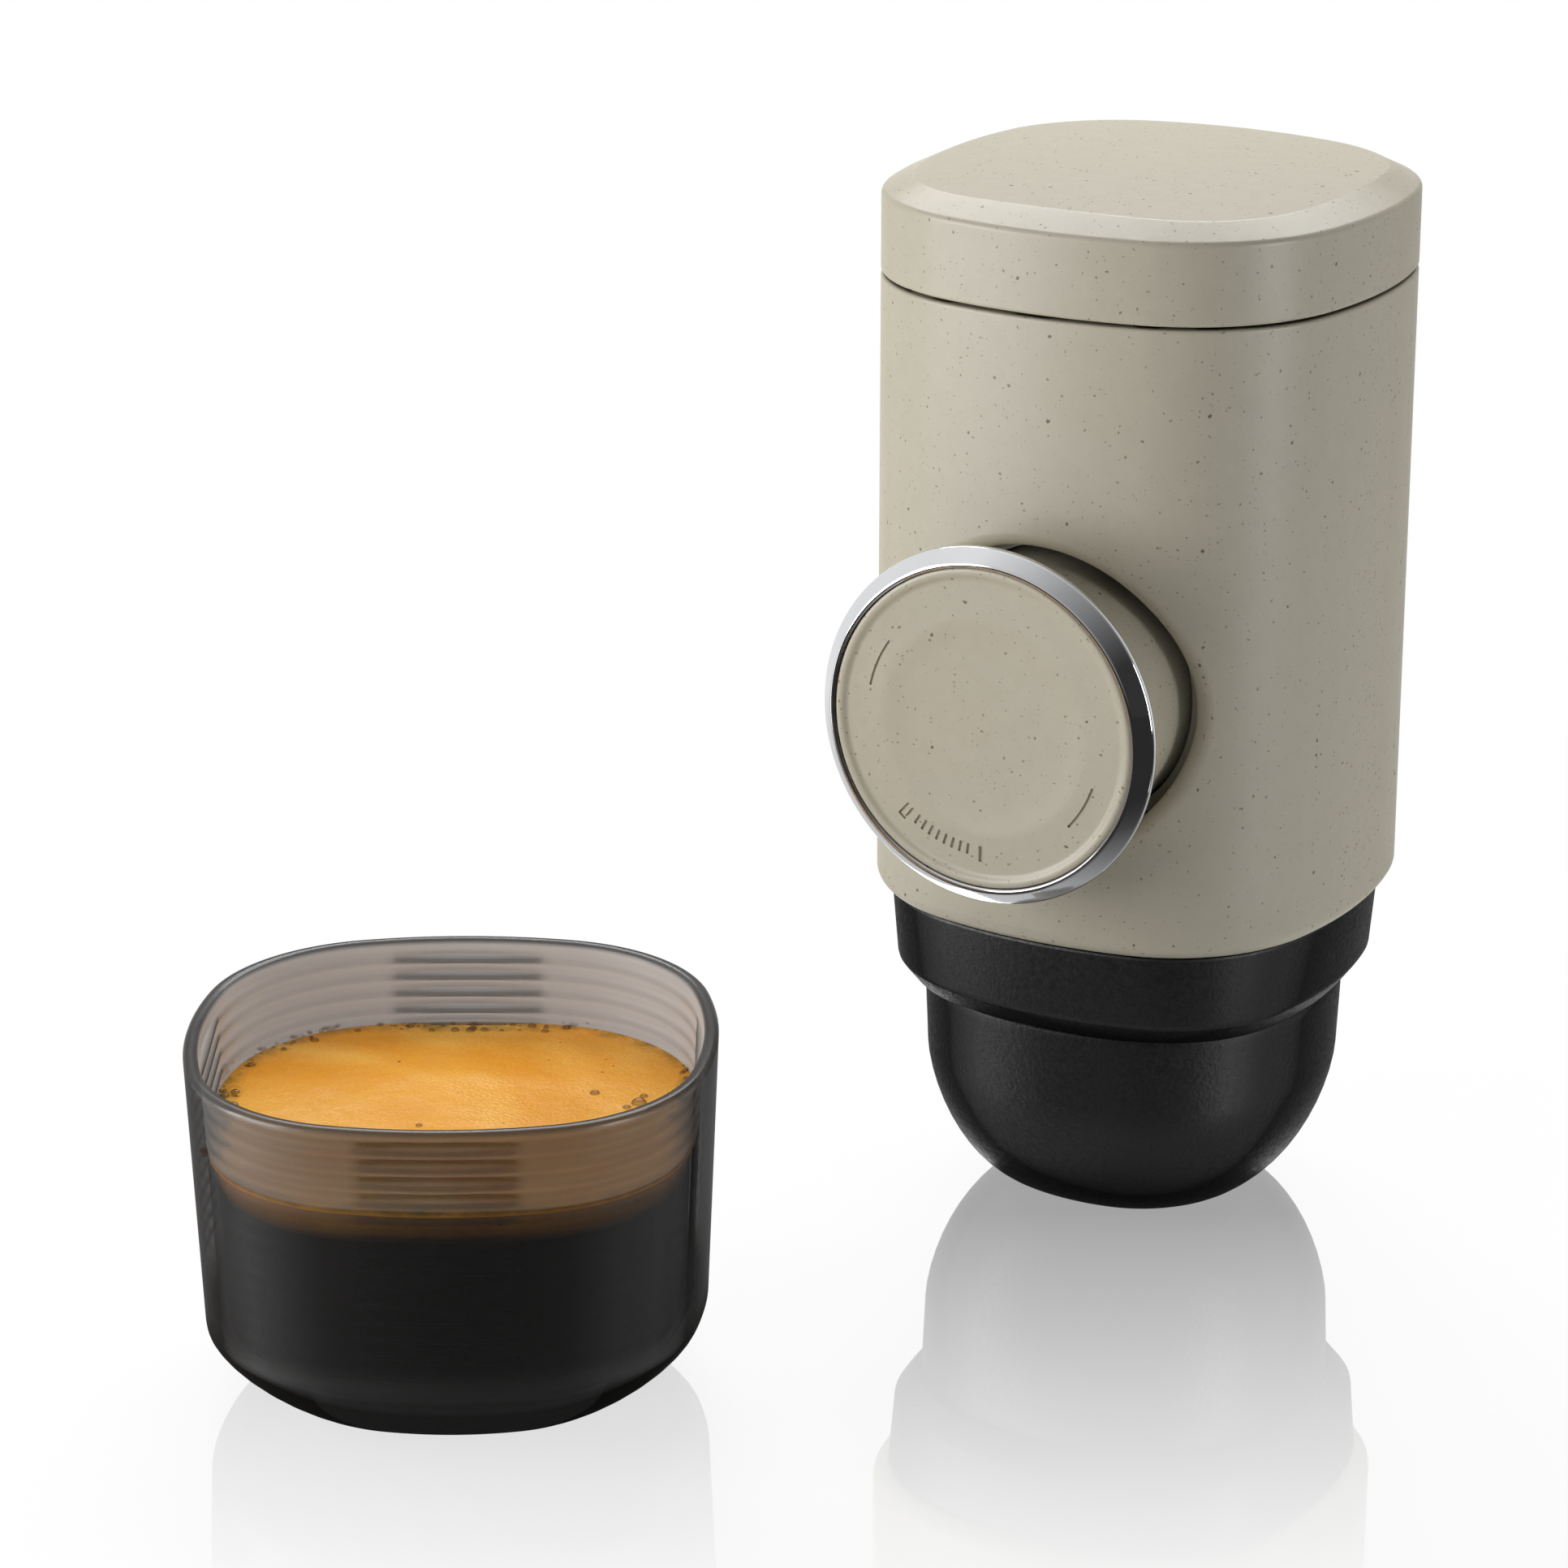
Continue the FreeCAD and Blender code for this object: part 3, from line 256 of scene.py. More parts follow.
def start_point(name, place):
    """A new piece of a single point, left in edit mode with that point selected."""
    bpy.ops.object.select_all(action="DESELECT")
    bpy.ops.mesh.primitive_plane_add(size=MM)
    piece = bpy.context.object
    piece.name = piece.data.name = name
    bpy.ops.object.mode_set(mode="EDIT")
    bpy.ops.mesh.select_all(action="SELECT")
    bpy.ops.mesh.merge(type="CENTER")
    bpy.ops.transform.translate(value=place)
    return piece


def rounded_square(name, half, level, side_ratio, corner_ratio, side_steps=28, corner_steps=26):
    """An outline of four bowed sides and four round corners, left in edit mode and selected.

    Half its width and its level are in millimetres, and the ratios give the radii of sides and corners.
    """
    side, corner = half * side_ratio, half * corner_ratio
    bow = side - half
    reach = (math.sqrt(2 * (side - corner) ** 2 - bow ** 2) - bow) / 2
    spread = math.atan2(reach, reach + bow)
    start = Vector((-side * math.sin(spread), bow - side * math.cos(spread), level))
    piece = start_point(name, start * MM)
    for quarter in range(4):
        turn = Matrix.Rotation(math.radians(90 * quarter), 3, "Z")
        bpy.ops.mesh.spin(steps=side_steps, angle=-2 * spread, center=turn @ Vector((0, bow, level)) * MM,
                          axis=(0, 0, 1))
        bpy.ops.mesh.spin(steps=corner_steps, angle=2 * spread - math.pi / 2,
                          center=turn @ Vector((reach, -reach, level)) * MM, axis=(0, 0, 1))
    bpy.ops.mesh.select_all(action="SELECT")
    bpy.ops.mesh.remove_doubles(threshold=SAME_PLACE)
    return piece


def raise_outline(sections):
    """Extrude the selected outline through (half width, level) sections, scaled about the upright axis."""
    for (half, level), (next_half, next_level) in zip(sections, sections[1:]):
        rise = (0, 0, (next_level - level) * MM)
        growth = next_half / half
        bpy.ops.mesh.extrude_region_move(TRANSFORM_OT_translate={"value": rise})
        bpy.ops.transform.resize(value=(growth, growth, 1), center_override=(0, 0, 0))


def close_ends(piece, first_level):
    """Fill the selected end outline, and the one at the first level."""
    bpy.ops.mesh.edge_face_add()
    bpy.ops.mesh.select_all(action="DESELECT")
    bpy.ops.object.mode_set(mode="OBJECT")
    for vertex in piece.data.vertices:
        vertex.select = abs(vertex.co.z - first_level * MM) < SAME_PLACE
    bpy.ops.object.mode_set(mode="EDIT")
    bpy.ops.mesh.edge_face_add()
    bpy.ops.mesh.select_all(action="SELECT")
    bpy.ops.mesh.normals_make_consistent(inside=False)
    bpy.ops.object.mode_set(mode="OBJECT")


def spun(name, outline, level=0.0, axis="Z", steps=160, angle=360.0, start=0.0, closed=True):
    """A turned piece about Z or the pump's axis, from (radius, distance along the axis) in millimetres."""
    across, up = math.cos(math.radians(start)), math.sin(math.radians(start))
    if axis == "Z":
        places = [Vector((radius * across, radius * up, reach)) * MM for radius, reach in outline]
    else:
        places = [Vector((radius * across, -reach, level + radius * up)) * MM for radius, reach in outline]
    piece = start_point(name, places[0])
    for here, there in zip(places, places[1:] + places[:1] * closed):
        bpy.ops.mesh.extrude_vertices_move(TRANSFORM_OT_translate={"value": there - here})
    bpy.ops.mesh.select_all(action="SELECT")
    bpy.ops.mesh.remove_doubles(threshold=0.1 * SAME_PLACE)
    bpy.ops.mesh.spin(steps=steps, angle=math.radians(angle), center=(0, 0, level * MM),
                      axis=(0, 0, 1) if axis == "Z" else (0, 1, 0))
    bpy.ops.mesh.select_all(action="SELECT")
    bpy.ops.mesh.remove_doubles(threshold=0.1 * SAME_PLACE)
    bpy.ops.mesh.normals_make_consistent(inside=False)
    bpy.ops.object.mode_set(mode="OBJECT")
    return piece


def combine(piece, tool, operation="DIFFERENCE"):
    """Cut the tool's shape out of the piece, or add it, and drop the tool."""
    apply_modifier(piece, "BOOLEAN", object=tool, operation=operation, solver="EXACT")
    bpy.data.objects.remove(tool)


collar_outline = [(28.5, 40.8), (28.8, 40.72), (28.93, 40.45), (28.24, 31.75), (28.13, 31.28),
                  (27.86, 30.86), (26.36, 28.86), (26.1, 28.58), (25.75, 28.43), (25.3, 28.4)]
collar = rounded_square("outlet_band", *collar_outline[0], side_ratio=2.028, corner_ratio=0.681)
raise_outline(collar_outline)
close_ends(collar, collar_outline[0][1])
combine(collar, spun("bore", [(0, 27), (23.6, 27), (23.6, 30.4), (22.5, 30.4), (22.5, 42), (0, 42)],
                     closed=False))
finish_mesh(collar, nylon, "outlet_head", "outlet_collar")


BOWL_FOOT, BOWL_FLARE, BOWL_SWELL = 10.2, 15.3, 18.4
HOLE_RADIUS, HOLE_REACH = 1.2, 3.6


def bowl_half(level):
    """Half the bowl's width at a level up to its swell."""
    return BOWL_FOOT + BOWL_FLARE * (1 - ((BOWL_SWELL - level) / BOWL_SWELL) ** 1.5) ** 0.42


bowl_levels = [0, 0.02, 0.06, 0.13, 0.25, 0.42, 0.65, 0.95, 1.35, 1.9, 2.6, 3.5, 4.6, 5.9, 7.4, 9.1, 11, 13,
               15, 17, BOWL_SWELL]
bowl_outline = [(bowl_half(level), level) for level in bowl_levels]
bowl_outline += [(25.6, 21), (25.73, 24), (25.85, 27), (25.87, 27.8), (25.8, 28.15), (25.6, 28.33),
                 (25.3, 28.35)]
bowl = rounded_square("outlet_cup", *bowl_outline[0], side_ratio=1.45, corner_ratio=0.86)
raise_outline(bowl_outline)
close_ends(bowl, 0)
combine(bowl, spun("lip", [(0, 27), (23.5, 27), (23.5, 30.1), (23.3, 30.3), (0, 30.3)], closed=False),
        "UNION")
combine(bowl, spun("hollow", [(0, 2.4), (6, 2.4), (19.5, 11), (19.5, 13.2), (21.8, 13.2), (21.8, 31),
                              (0, 31)], closed=False))
# four outlet holes through the foot
for quarter in range(4):
    centre = Matrix.Rotation(math.radians(90 * quarter), 3, "Z") @ Vector((HOLE_REACH * MM, 0, 1 * MM))
    bpy.ops.object.select_all(action="DESELECT")
    bpy.ops.mesh.primitive_cylinder_add(vertices=32, radius=HOLE_RADIUS * MM, depth=6 * MM, location=centre)
    combine(bowl, bpy.context.object)
finish_mesh(bowl, nylon, "outlet_head", "outlet_bowl")


# ---- Knob drum ----
# The drum behind the ring is moulded in the husk plastic and slides in and out of the shell with the pump.
# It is plain, so only the flecks and the satin skin show on it.

KNOB_LEVEL = 72.4

drum = spun("knob_sleeve", [(15.8, 3.0), (17.0, 3.0), (17.3, 3.3), (17.3, 36.9), (17.45, 37.12),
                            (18.2, 37.42), (19.2, 37.84), (20.5, 38.6), (20.8, 38.85), (20.9, 39.1),
                            (20.9, 39.7), (20.75, 39.9), (19.75, 39.9), (19.75, 41.4), (18.25, 41.4),
                            (18.25, 39.5), (1.85, 39.5), (1.85, 37.5), (15.8, 37.5)], KNOB_LEVEL, "Y")
finish_mesh(drum, husk_plastic, "knob", "knob_drum")


# ---- Knob ring ----
# A turned zinc ring, polished and chrome-plated, is pressed onto the front of the drum.
# Its wide bevel mirrors the room, and fine turned edges inside and outside catch the light.

chrome, shader, place = new_finish("polished chrome plate", Metallic=1.0)
smear = add(chrome, "TexNoise", {"Vector": place, "Scale": per_metre(5.5), "Detail": 3.0})
dullness = add(chrome, "MapRange", {"Value": smear.outputs["Fac"], "To Min": 0.05, "To Max": 0.1})
join(chrome, shader.inputs["Roughness"], dullness.outputs["Result"])
colour = add(chrome, "Mix", {"Factor": smear.outputs["Fac"], "A": linear("#D4D5D8"),
                             "B": linear("#DEDFE1")}, data_type="RGBA")
join(chrome, shader.inputs["Base Color"], colour.outputs["Result"])

ring = spun("knob_bezel", [(19.85, 40.0), (20.9, 40.0), (22.05, 41.1), (22.1, 41.25), (22.1, 41.65),
                           (22.02, 41.84), (21.88, 41.98), (20.56, 43.24), (20.4, 43.36), (20.2, 43.4),
                           (20.02, 43.36), (19.88, 43.22)], KNOB_LEVEL, "Y", steps=256)
finish_mesh(ring, chrome, "knob", "knob_ring")


# ---- Knob face ----
# The thumb disc is moulded in the same husk plastic as the shell and snaps in behind the ring.
# The mould cuts its dish, two arc lines and the scale from the locked to the unlocked mark.

face = spun("knob_disc", [(0, 41.5), (19.75, 41.5), (19.75, 43.0), (19.61, 43.16), (19.35, 43.2),
                          (19.02, 43.18), (18.78, 43.08), (18.58, 42.92), (18.36, 42.81), (18.05, 42.78),
                          (13.9, 42.78), (13.4, 42.76), (12.7, 42.7), (11.8, 42.6), (10.2, 42.5),
                          (6.8, 42.4), (3, 42.35), (0, 42.34)], KNOB_LEVEL, "Y", closed=False)
FACE_REACH, MARK_DEPTH = 42.78, 0.3


def mark_block(radius, angle, width, length):
    """A cutting block on the face, at an angle from the right and anticlockwise as seen from the front."""
    bpy.ops.object.select_all(action="DESELECT")
    bpy.ops.mesh.primitive_cube_add(size=1)
    block = bpy.context.object
    block.scale = (length * MM, 2 * MARK_DEPTH * MM, width * MM)
    block.rotation_euler = (0, -math.radians(angle), 0)
    turn = math.radians(angle)
    place = Vector((radius * math.cos(turn), -FACE_REACH, KNOB_LEVEL + radius * math.sin(turn)))
    block.location = place * MM
    bpy.ops.object.transform_apply(location=True, rotation=True, scale=True)
    apply_modifier(block, "BEVEL", width=0.12 * MM, segments=3, affect="EDGES")
    return block


SCALE_RADIUS, SCALE_START, SCALE_STEP = 15.45, 263.5, 3.9
LOCKED, UNLOCKED = 270, 229.8
# eight scale lines, the longer locked line, and the unlocked box of two sides and an end
marks = [mark_block(SCALE_RADIUS, SCALE_START - SCALE_STEP * step, 0.38, 1.4) for step in range(8)]
marks += [mark_block(15.75, LOCKED, 0.55, 2.0)]
marks += [mark_block(15.75, UNLOCKED + side, 0.3, 2.0) for side in (-1.6, 1.6)]
marks += [mark_block(16.6, UNLOCKED, 1.1, 0.3)]
arc_section = [(15.35, 42.5), (15.65, 42.5), (15.65, 43.2), (15.35, 43.2)]
for start, sweep in ((144.5, 24), (318.5, 23)):
    arc = spun("arc_cutter", arc_section, KNOB_LEVEL, "Y", steps=24, angle=sweep, start=start)
    bpy.ops.object.mode_set(mode="EDIT")
    bpy.ops.mesh.select_all(action="DESELECT")
    bpy.ops.mesh.select_non_manifold()
    bpy.ops.mesh.edge_face_add()
    bpy.ops.mesh.select_all(action="SELECT")
    bpy.ops.mesh.normals_make_consistent(inside=False)
    bpy.ops.object.mode_set(mode="OBJECT")
    marks.append(arc)
for mark in marks:
    combine(face, mark)
finish_mesh(face, husk_plastic, "knob", "knob_face", sharp=60)


# ---- Cup ----
# The cup is moulded in smoke-grey copolyester, 1.8 mm thick: dark and satin outside, frosted inside.
# Thirteen straight ribs run inside each bowed side.
# The frosting is milky where it is dry, and below the coffee, where it is wet, painted near black as shade.

CUP_PLACE = Vector((-42.3, -93.6, 0)) * MM
CUP_TURN = math.radians(30)
CUP_FLAT, CUP_BELLY, CUP_RIM = 17.8, 29.6, 31.0
CUP_SWELL, CUP_TOP, CUP_WALL = 10.6, 43.3, 1.8
SIDE_RATIO, CORNER_RATIO = 1.935, 0.71
FLOOR_LEVEL, RIM_START = 3.4, 42.3
RIB_COUNT, RIB_PITCH, FIRST_RIB, RIB_DEPTH = 13, 2.13, 15.3, 0.85
# a rib is a straight chord: deepest in the middle of a side, gone where the way along it squared is this
CHORD_END = 90
COFFEE_LEVEL = 32.6
# below this level the wall's inside is wet and painted near black as shade, fading out over the second
WET_SHADE_LEVEL, WET_SHADE_FADE = 31.2, 1.8


def cup_half(level):
    """Half the cup's outer width at a level."""
    if level < CUP_SWELL:
        return CUP_FLAT + (CUP_BELLY - CUP_FLAT) * (1 - ((CUP_SWELL - level) / CUP_SWELL) ** 1.34) ** 0.84
    return CUP_BELLY + (CUP_RIM - CUP_BELLY) * (level - CUP_SWELL) / (CUP_TOP - CUP_SWELL)


def stand_cup(piece):
    """Move a piece that was modelled round the Z axis to the cup's place."""
    select_only(piece)
    piece.matrix_world = Matrix.Translation(CUP_PLACE) @ Matrix.Rotation(CUP_TURN, 4, "Z")
    bpy.ops.object.transform_apply(location=True, rotation=True, scale=True)


rib_levels = [FIRST_RIB + RIB_PITCH * rib for rib in range(RIB_COUNT)]
rib_rows = [level + step for level in rib_levels for step in (-0.62, -0.4, -0.18, 0.18, 0.4, 0.62)]
# up the outside, over the rounded rim, down the inside and across the floor
outer_levels = [0, 0.25, 0.7, 1.4, 2.4, 3.7, 5.2, 6.8, 8.2, 9.3, 10.1, 10.6, 11.2, 13]
outer_levels += rib_rows + [RIM_START]
inner_levels = [RIM_START] + rib_rows[::-1] + [13, 12, 11]
cup_outline = [(cup_half(level), level) for level in outer_levels]
cup_outline += [(CUP_RIM - 0.03, 42.7), (CUP_RIM - 0.13, 42.98), (CUP_RIM - 0.34, 43.2),
                (CUP_RIM - 0.62, CUP_TOP), (CUP_RIM - 1.18, CUP_TOP), (CUP_RIM - 1.46, 43.2),
                (CUP_RIM - 1.67, 42.98), (CUP_RIM - 1.77, 42.7)]
cup_outline += [(cup_half(level) - CUP_WALL, level) for level in inner_levels]
cup_outline += [(27.4, 10.2), (26.7, 9.0), (25.2, 7.4), (23.2, 5.9), (21.0, 4.7), (19.0, 3.8),
                (17.4, FLOOR_LEVEL), (12, FLOOR_LEVEL), (5, FLOOR_LEVEL)]
cup = rounded_square("smoke_cup", *cup_outline[0], side_ratio=SIDE_RATIO, corner_ratio=CORNER_RATIO)
raise_outline(cup_outline)
close_ends(cup, 0)


def nearness(value, middle, flat, fade):
    """1 within flat of the middle, 0 beyond flat + fade, and smooth between."""
    share = min(max((flat + fade - abs(value - middle)) / fade, 0), 1)
    return share * share * (3 - 2 * share)


ribs = cup.vertex_groups.new(name="ribs")
rib_shades, wet_and_shaded_shares, inner_shares = [], [], []
for vertex in cup.data.vertices:
    x, y, level = vertex.co / MM
    along = min(abs(x), abs(y))
    rib = max(nearness(level, middle, 0.22, 0.4) for middle in rib_levels)
    chord = max(1 - along ** 2 / CHORD_END, 0)
    inside = vertex.normal.x * x + vertex.normal.y * y < 0 and level > FLOOR_LEVEL - 0.4
    if inside and 11 < level < 42.5:
        ribs.add([vertex.index], rib * max(chord, 0.1), "REPLACE")
    inner_shares.append(float(inside))
    rib_shades.append(rib * (0.3 + 0.7 * nearness(along, 0, 8.2, 1.9)))
    # painted shade: below the coffee the wall's inside is drawn near black, where it is also wet
    wet_and_shaded_shares.append(1 - min(max((level - WET_SHADE_LEVEL) / WET_SHADE_FADE, 0), 1))
for name, values in (("rib", rib_shades), ("wet_and_shaded", wet_and_shaded_shares), ("inner", inner_shares)):
    cup.data.attributes.new(name, "FLOAT", "POINT").data.foreach_set("value", values)
apply_modifier(cup, "DISPLACE", strength=RIB_DEPTH * MM, mid_level=0, vertex_group="ribs")
cup.vertex_groups.clear()
stand_cup(cup)

copolyester, shader, place = new_finish("smoke-grey frosted copolyester")
shader.inputs["IOR"].default_value = 1.5
rib = add(copolyester, "Attribute", attribute_name="rib").outputs["Fac"]
wet_and_shaded = add(copolyester, "Attribute", attribute_name="wet_and_shaded").outputs["Fac"]
inner = add(copolyester, "Attribute", attribute_name="inner").outputs["Fac"]
height = add(copolyester, "SeparateXYZ", {"Vector": place}).outputs["Z"]
foot = add(copolyester, "MapRange", {"Value": height, "From Min": 14 * MM,
                                     "From Max": 9.5 * MM}).outputs["Result"]
rim = add(copolyester, "MapRange", {"Value": height, "From Min": 42.6 * MM,
                                    "From Max": 43.1 * MM}).outputs["Result"]
# the satin skin shines outside, and far less on the frosted inside and the rim
side_shine = add(copolyester, "MapRange", {"Value": inner, "To Min": 1.0, "To Max": 0.25}).outputs["Result"]
rim_shine = add(copolyester, "MapRange", {"Value": rim, "To Min": side_shine,
                                          "To Max": 0.2}).outputs["Result"]
satin = soften_edges(copolyester, shader, rim_shine, 0.03, start=0.4, end=0.65)
coated = add(copolyester, "MapRange", {"Value": inner, "To Min": satin, "To Max": 0.0}).outputs["Result"]
join(copolyester, shader.inputs["Coat Weight"], coated)
shader.inputs["Coat Roughness"].default_value = 0.48
frost = add(copolyester, "MapRange", {"Value": inner, "To Min": 0.4, "To Max": 0.55})
dull = add(copolyester, "MapRange", {"Value": foot, "To Min": frost.outputs["Result"], "To Max": 0.65})
shine = add(copolyester, "MapRange", {"Value": rim, "To Min": dull.outputs["Result"], "To Max": 0.2})
join(copolyester, shader.inputs["Roughness"], shine.outputs["Result"])
# the share of light that each of the wall's two faces stops, more where it is seen edge on
edge_on = add(copolyester, "LayerWeight", {"Blend": 0.5}).outputs["Facing"]
ribbed = add(copolyester, "MapRange", {"Value": rib, "To Min": 0.59, "To Max": 0.78})
thick = add(copolyester, "MapRange", {"Value": foot, "To Min": ribbed.outputs["Result"], "To Max": 0.97})
solid = add(copolyester, "MapRange", {"Value": rim, "To Min": thick.outputs["Result"], "To Max": 0.85})
tint = add(copolyester, "MapRange", {"Value": edge_on, "From Min": 0.5, "From Max": 1.0,
                                     "To Min": solid.outputs["Result"], "To Max": 0.97})
# the frosting scatters part of the lamps' light on into the cup
lamp_light = add(copolyester, "LightPath").outputs["Is Shadow Ray"]
scattered = add(copolyester, "MapRange", {"Value": lamp_light, "To Min": 1.0, "To Max": 0.5})
soaked = add(copolyester, "Math", {0: wet_and_shaded, 1: inner}, operation="MULTIPLY")
cleared = add(copolyester, "MapRange", {"Value": soaked.outputs[0], "To Min": scattered.outputs["Result"],
                                        "To Max": 0.4})
stopped = add(copolyester, "Math", {0: tint.outputs["Result"], 1: cleared.outputs["Result"]},
              operation="MULTIPLY")
join(copolyester, shader.inputs["Alpha"], stopped.outputs[0])
# smoke grey outside, milky inside where dry, near black along the ribs and, as painted shade, below the
# coffee
smoke = add(copolyester, "TexNoise", {"Vector": place, "Scale": per_metre(16.0),
                                      "Detail": 2.0}).outputs["Fac"]
smoked = add(copolyester, "Mix", {"Factor": smoke, "A": linear("#181513"), "B": linear("#1F1B19")},
              data_type="RGBA")
dry = add(copolyester, "Mix", {"Factor": smoke, "A": linear("#B3ADA8"), "B": linear("#BFB9B4")},
          data_type="RGBA")
# painted shade: near black below the coffee, where the wet frosting has the dark coffee behind it
frosted = add(copolyester, "Mix", {"Factor": wet_and_shaded, "A": dry.outputs["Result"], "B": linear("#171413")},
              data_type="RGBA")
wall = add(copolyester, "Mix", {"Factor": inner, "A": smoked.outputs["Result"],
                                "B": frosted.outputs["Result"]}, data_type="RGBA")
rib_inside = add(copolyester, "Mix", {"Factor": wet_and_shaded, "A": linear("#4A443E"), "B": linear("#0E0C0B")},
                 data_type="RGBA")
rib_colour = add(copolyester, "Mix", {"Factor": inner, "A": linear("#0A0807"),
                                      "B": rib_inside.outputs["Result"]}, data_type="RGBA")
striped = add(copolyester, "Mix", {"Factor": rib, "A": wall.outputs["Result"],
                                   "B": rib_colour.outputs["Result"]}, data_type="RGBA")
footed = add(copolyester, "Mix", {"Factor": foot, "A": striped.outputs["Result"], "B": linear("#12100E")},
             data_type="RGBA")
whole = add(copolyester, "Mix", {"Factor": rim, "A": footed.outputs["Result"], "B": linear("#2A2623")},
            data_type="RGBA")
join(copolyester, shader.inputs["Base Color"], whole.outputs["Result"])
finish_mesh(cup, copolyester, "cup", "cup", sharp=50)


# ---- Espresso ----
# An espresso fills the cup to a centimetre below the rim: black coffee under a layer of crema.
# The crema is a fine orange-brown foam with a lighter swirl, darker and bubbly round its edge.

WALL_GAP, RIB_GAP = 0.05, 0.95
CORNER_REACH = 1.13
SHORE = cup_half(COFFEE_LEVEL) - CUP_WALL - WALL_GAP
ribbed_levels = [11, 13.5] + [level for level in rib_rows if level < 31]
# up the sides inside the ribs, out to the wall, over the raised shore and in across the top
espresso_outline = [(16.4, 3.5), (20.0, 4.7), (22.2, 5.9), (24.2, 7.4), (25.7, 9.0), (26.6, 10.2)]
espresso_outline += [(cup_half(level) - CUP_WALL - RIB_GAP, level) for level in ribbed_levels]
espresso_outline += [(27.5, 31.6), (SHORE, 32.2), (SHORE, 32.75), (SHORE - 0.25, 32.68)]
espresso_outline += [(SHORE - 0.6, COFFEE_LEVEL)]
espresso_outline += [(SHORE * share, COFFEE_LEVEL)
                     for share in (0.94, 0.88, 0.8, 0.7, 0.58, 0.46, 0.34, 0.22, 0.1)]
coffee = rounded_square("espresso_drink", *espresso_outline[0], side_ratio=SIDE_RATIO,
                        corner_ratio=CORNER_RATIO)
raise_outline(espresso_outline)
close_ends(coffee, espresso_outline[0][1])
shores = []
for vertex in coffee.data.vertices:
    x, y, level = vertex.co / MM
    reach = max(abs(x), abs(y), math.hypot(x, y) / CORNER_REACH) / SHORE
    shores.append(nearness(reach, 1, 0.0, 0.2) if level > COFFEE_LEVEL - 0.2 else 0.35)
coffee.data.attributes.new("shore", "FLOAT", "POINT").data.foreach_set("value", shores)
stand_cup(coffee)

crema, shader, place = new_finish("espresso crema")
shader.inputs["IOR"].default_value = 1.36
shader.inputs["Specular IOR Level"].default_value = 0.05
drift = add(crema, "TexNoise", {"Vector": place, "Scale": per_metre(33.0), "Detail": 4.0,
                                "Distortion": 1.8})
swirl = add(crema, "MapRange", {"Value": drift.outputs["Fac"], "From Min": 0.4, "From Max": 0.64})
foam = add(crema, "Mix", {"Factor": swirl.outputs["Result"], "A": linear("#E99B26"),
                          "B": linear("#F7B850")}, data_type="RGBA")
# the foam's own bubbles are about 0.1 mm, and are drawn at 0.44 mm so that they show
froth = add(crema, "TexVoronoi", {"Vector": place, "Scale": per_metre(0.44)})
froth_depth = add(crema, "MapRange", {"Value": froth.outputs["Distance"], "From Min": 0.1, "From Max": 0.6,
                                      "To Min": 0.0, "To Max": 0.14})
fine = add(crema, "Mix", {"Factor": froth_depth.outputs["Result"], "A": foam.outputs["Result"],
                          "B": linear("#93560A")}, data_type="RGBA")
# now and then a bubble has burst and left a dark pore, up to 0.6 mm across
pores = add(crema, "TexVoronoi", {"Vector": place, "Scale": per_metre(1.9)})
pore_chance = add(crema, "SeparateColor", {"Color": pores.outputs["Color"]})
pore_size = add(crema, "MapRange", {"Value": pore_chance.outputs["Red"], "From Min": 0.0, "From Max": 0.4,
                                    "To Min": 0.16, "To Max": 0.0})
pore_reach = add(crema, "Math", {0: pore_size.outputs["Result"], 1: pores.outputs["Distance"]},
                 operation="SUBTRACT")
pore = add(crema, "MapRange", {"Value": pore_reach.outputs[0], "From Min": 0.0, "From Max": 0.08})
specked = add(crema, "Mix", {"Factor": pore.outputs["Result"], "A": fine.outputs["Result"],
                             "B": linear("#6E4008")}, data_type="RGBA")
# the shore is darker, with a ragged edge
edge = add(crema, "Attribute", attribute_name="shore").outputs["Fac"]
ragged = add(crema, "TexNoise", {"Vector": place, "Scale": per_metre(2.6), "Detail": 5.0, "Roughness": 0.7})
shore_line = add(crema, "Math", {0: edge, 1: ragged.outputs["Fac"]}, operation="MULTIPLY")
shore_share = add(crema, "MapRange", {"Value": shore_line.outputs[0], "From Min": 0.2, "From Max": 0.6,
                                      "To Max": 0.85})
whole = add(crema, "Mix", {"Factor": shore_share.outputs["Result"], "A": specked.outputs["Result"],
                           "B": linear("#574C18")}, data_type="RGBA")
# below the crema the coffee is black
height = add(crema, "SeparateXYZ", {"Vector": place})
below = add(crema, "MapRange", {"Value": height.outputs["Z"], "From Min": 28.4 * MM, "From Max": 31.6 * MM})
side = add(crema, "Mix", {"Factor": below.outputs["Result"], "A": linear("#0B0705"),
                          "B": whole.outputs["Result"]}, data_type="RGBA")
join(crema, shader.inputs["Base Color"], side.outputs["Result"])
wetness = add(crema, "MapRange", {"Value": drift.outputs["Fac"], "From Min": 0.35, "From Max": 0.65,
                                  "To Min": 0.34, "To Max": 0.17})
join(crema, shader.inputs["Roughness"], wetness.outputs["Result"])
humps = add(crema, "TexNoise", {"Vector": place, "Scale": per_metre(6.6), "Detail": 2.0})
uneven = add(crema, "Bump", {"Height": humps.outputs["Fac"], "Strength": 0.35, "Distance": 1.0 * MM})
relief = add(crema, "Bump", {"Height": froth.outputs["Distance"], "Strength": 0.2, "Distance": 0.2 * MM,
                             "Normal": uneven.outputs["Normal"]})
join(crema, shader.inputs["Normal"], relief.outputs["Normal"])
finish_mesh(coffee, crema, "cup", "espresso", sharp=50)


# ---- Crema bubbles ----
# Coffee bubbles gather where the crema meets the cup's wall, with a few larger ones to one side.
# Each is a thin wet film: dark round its edge, clear on top, with one sharp glint.

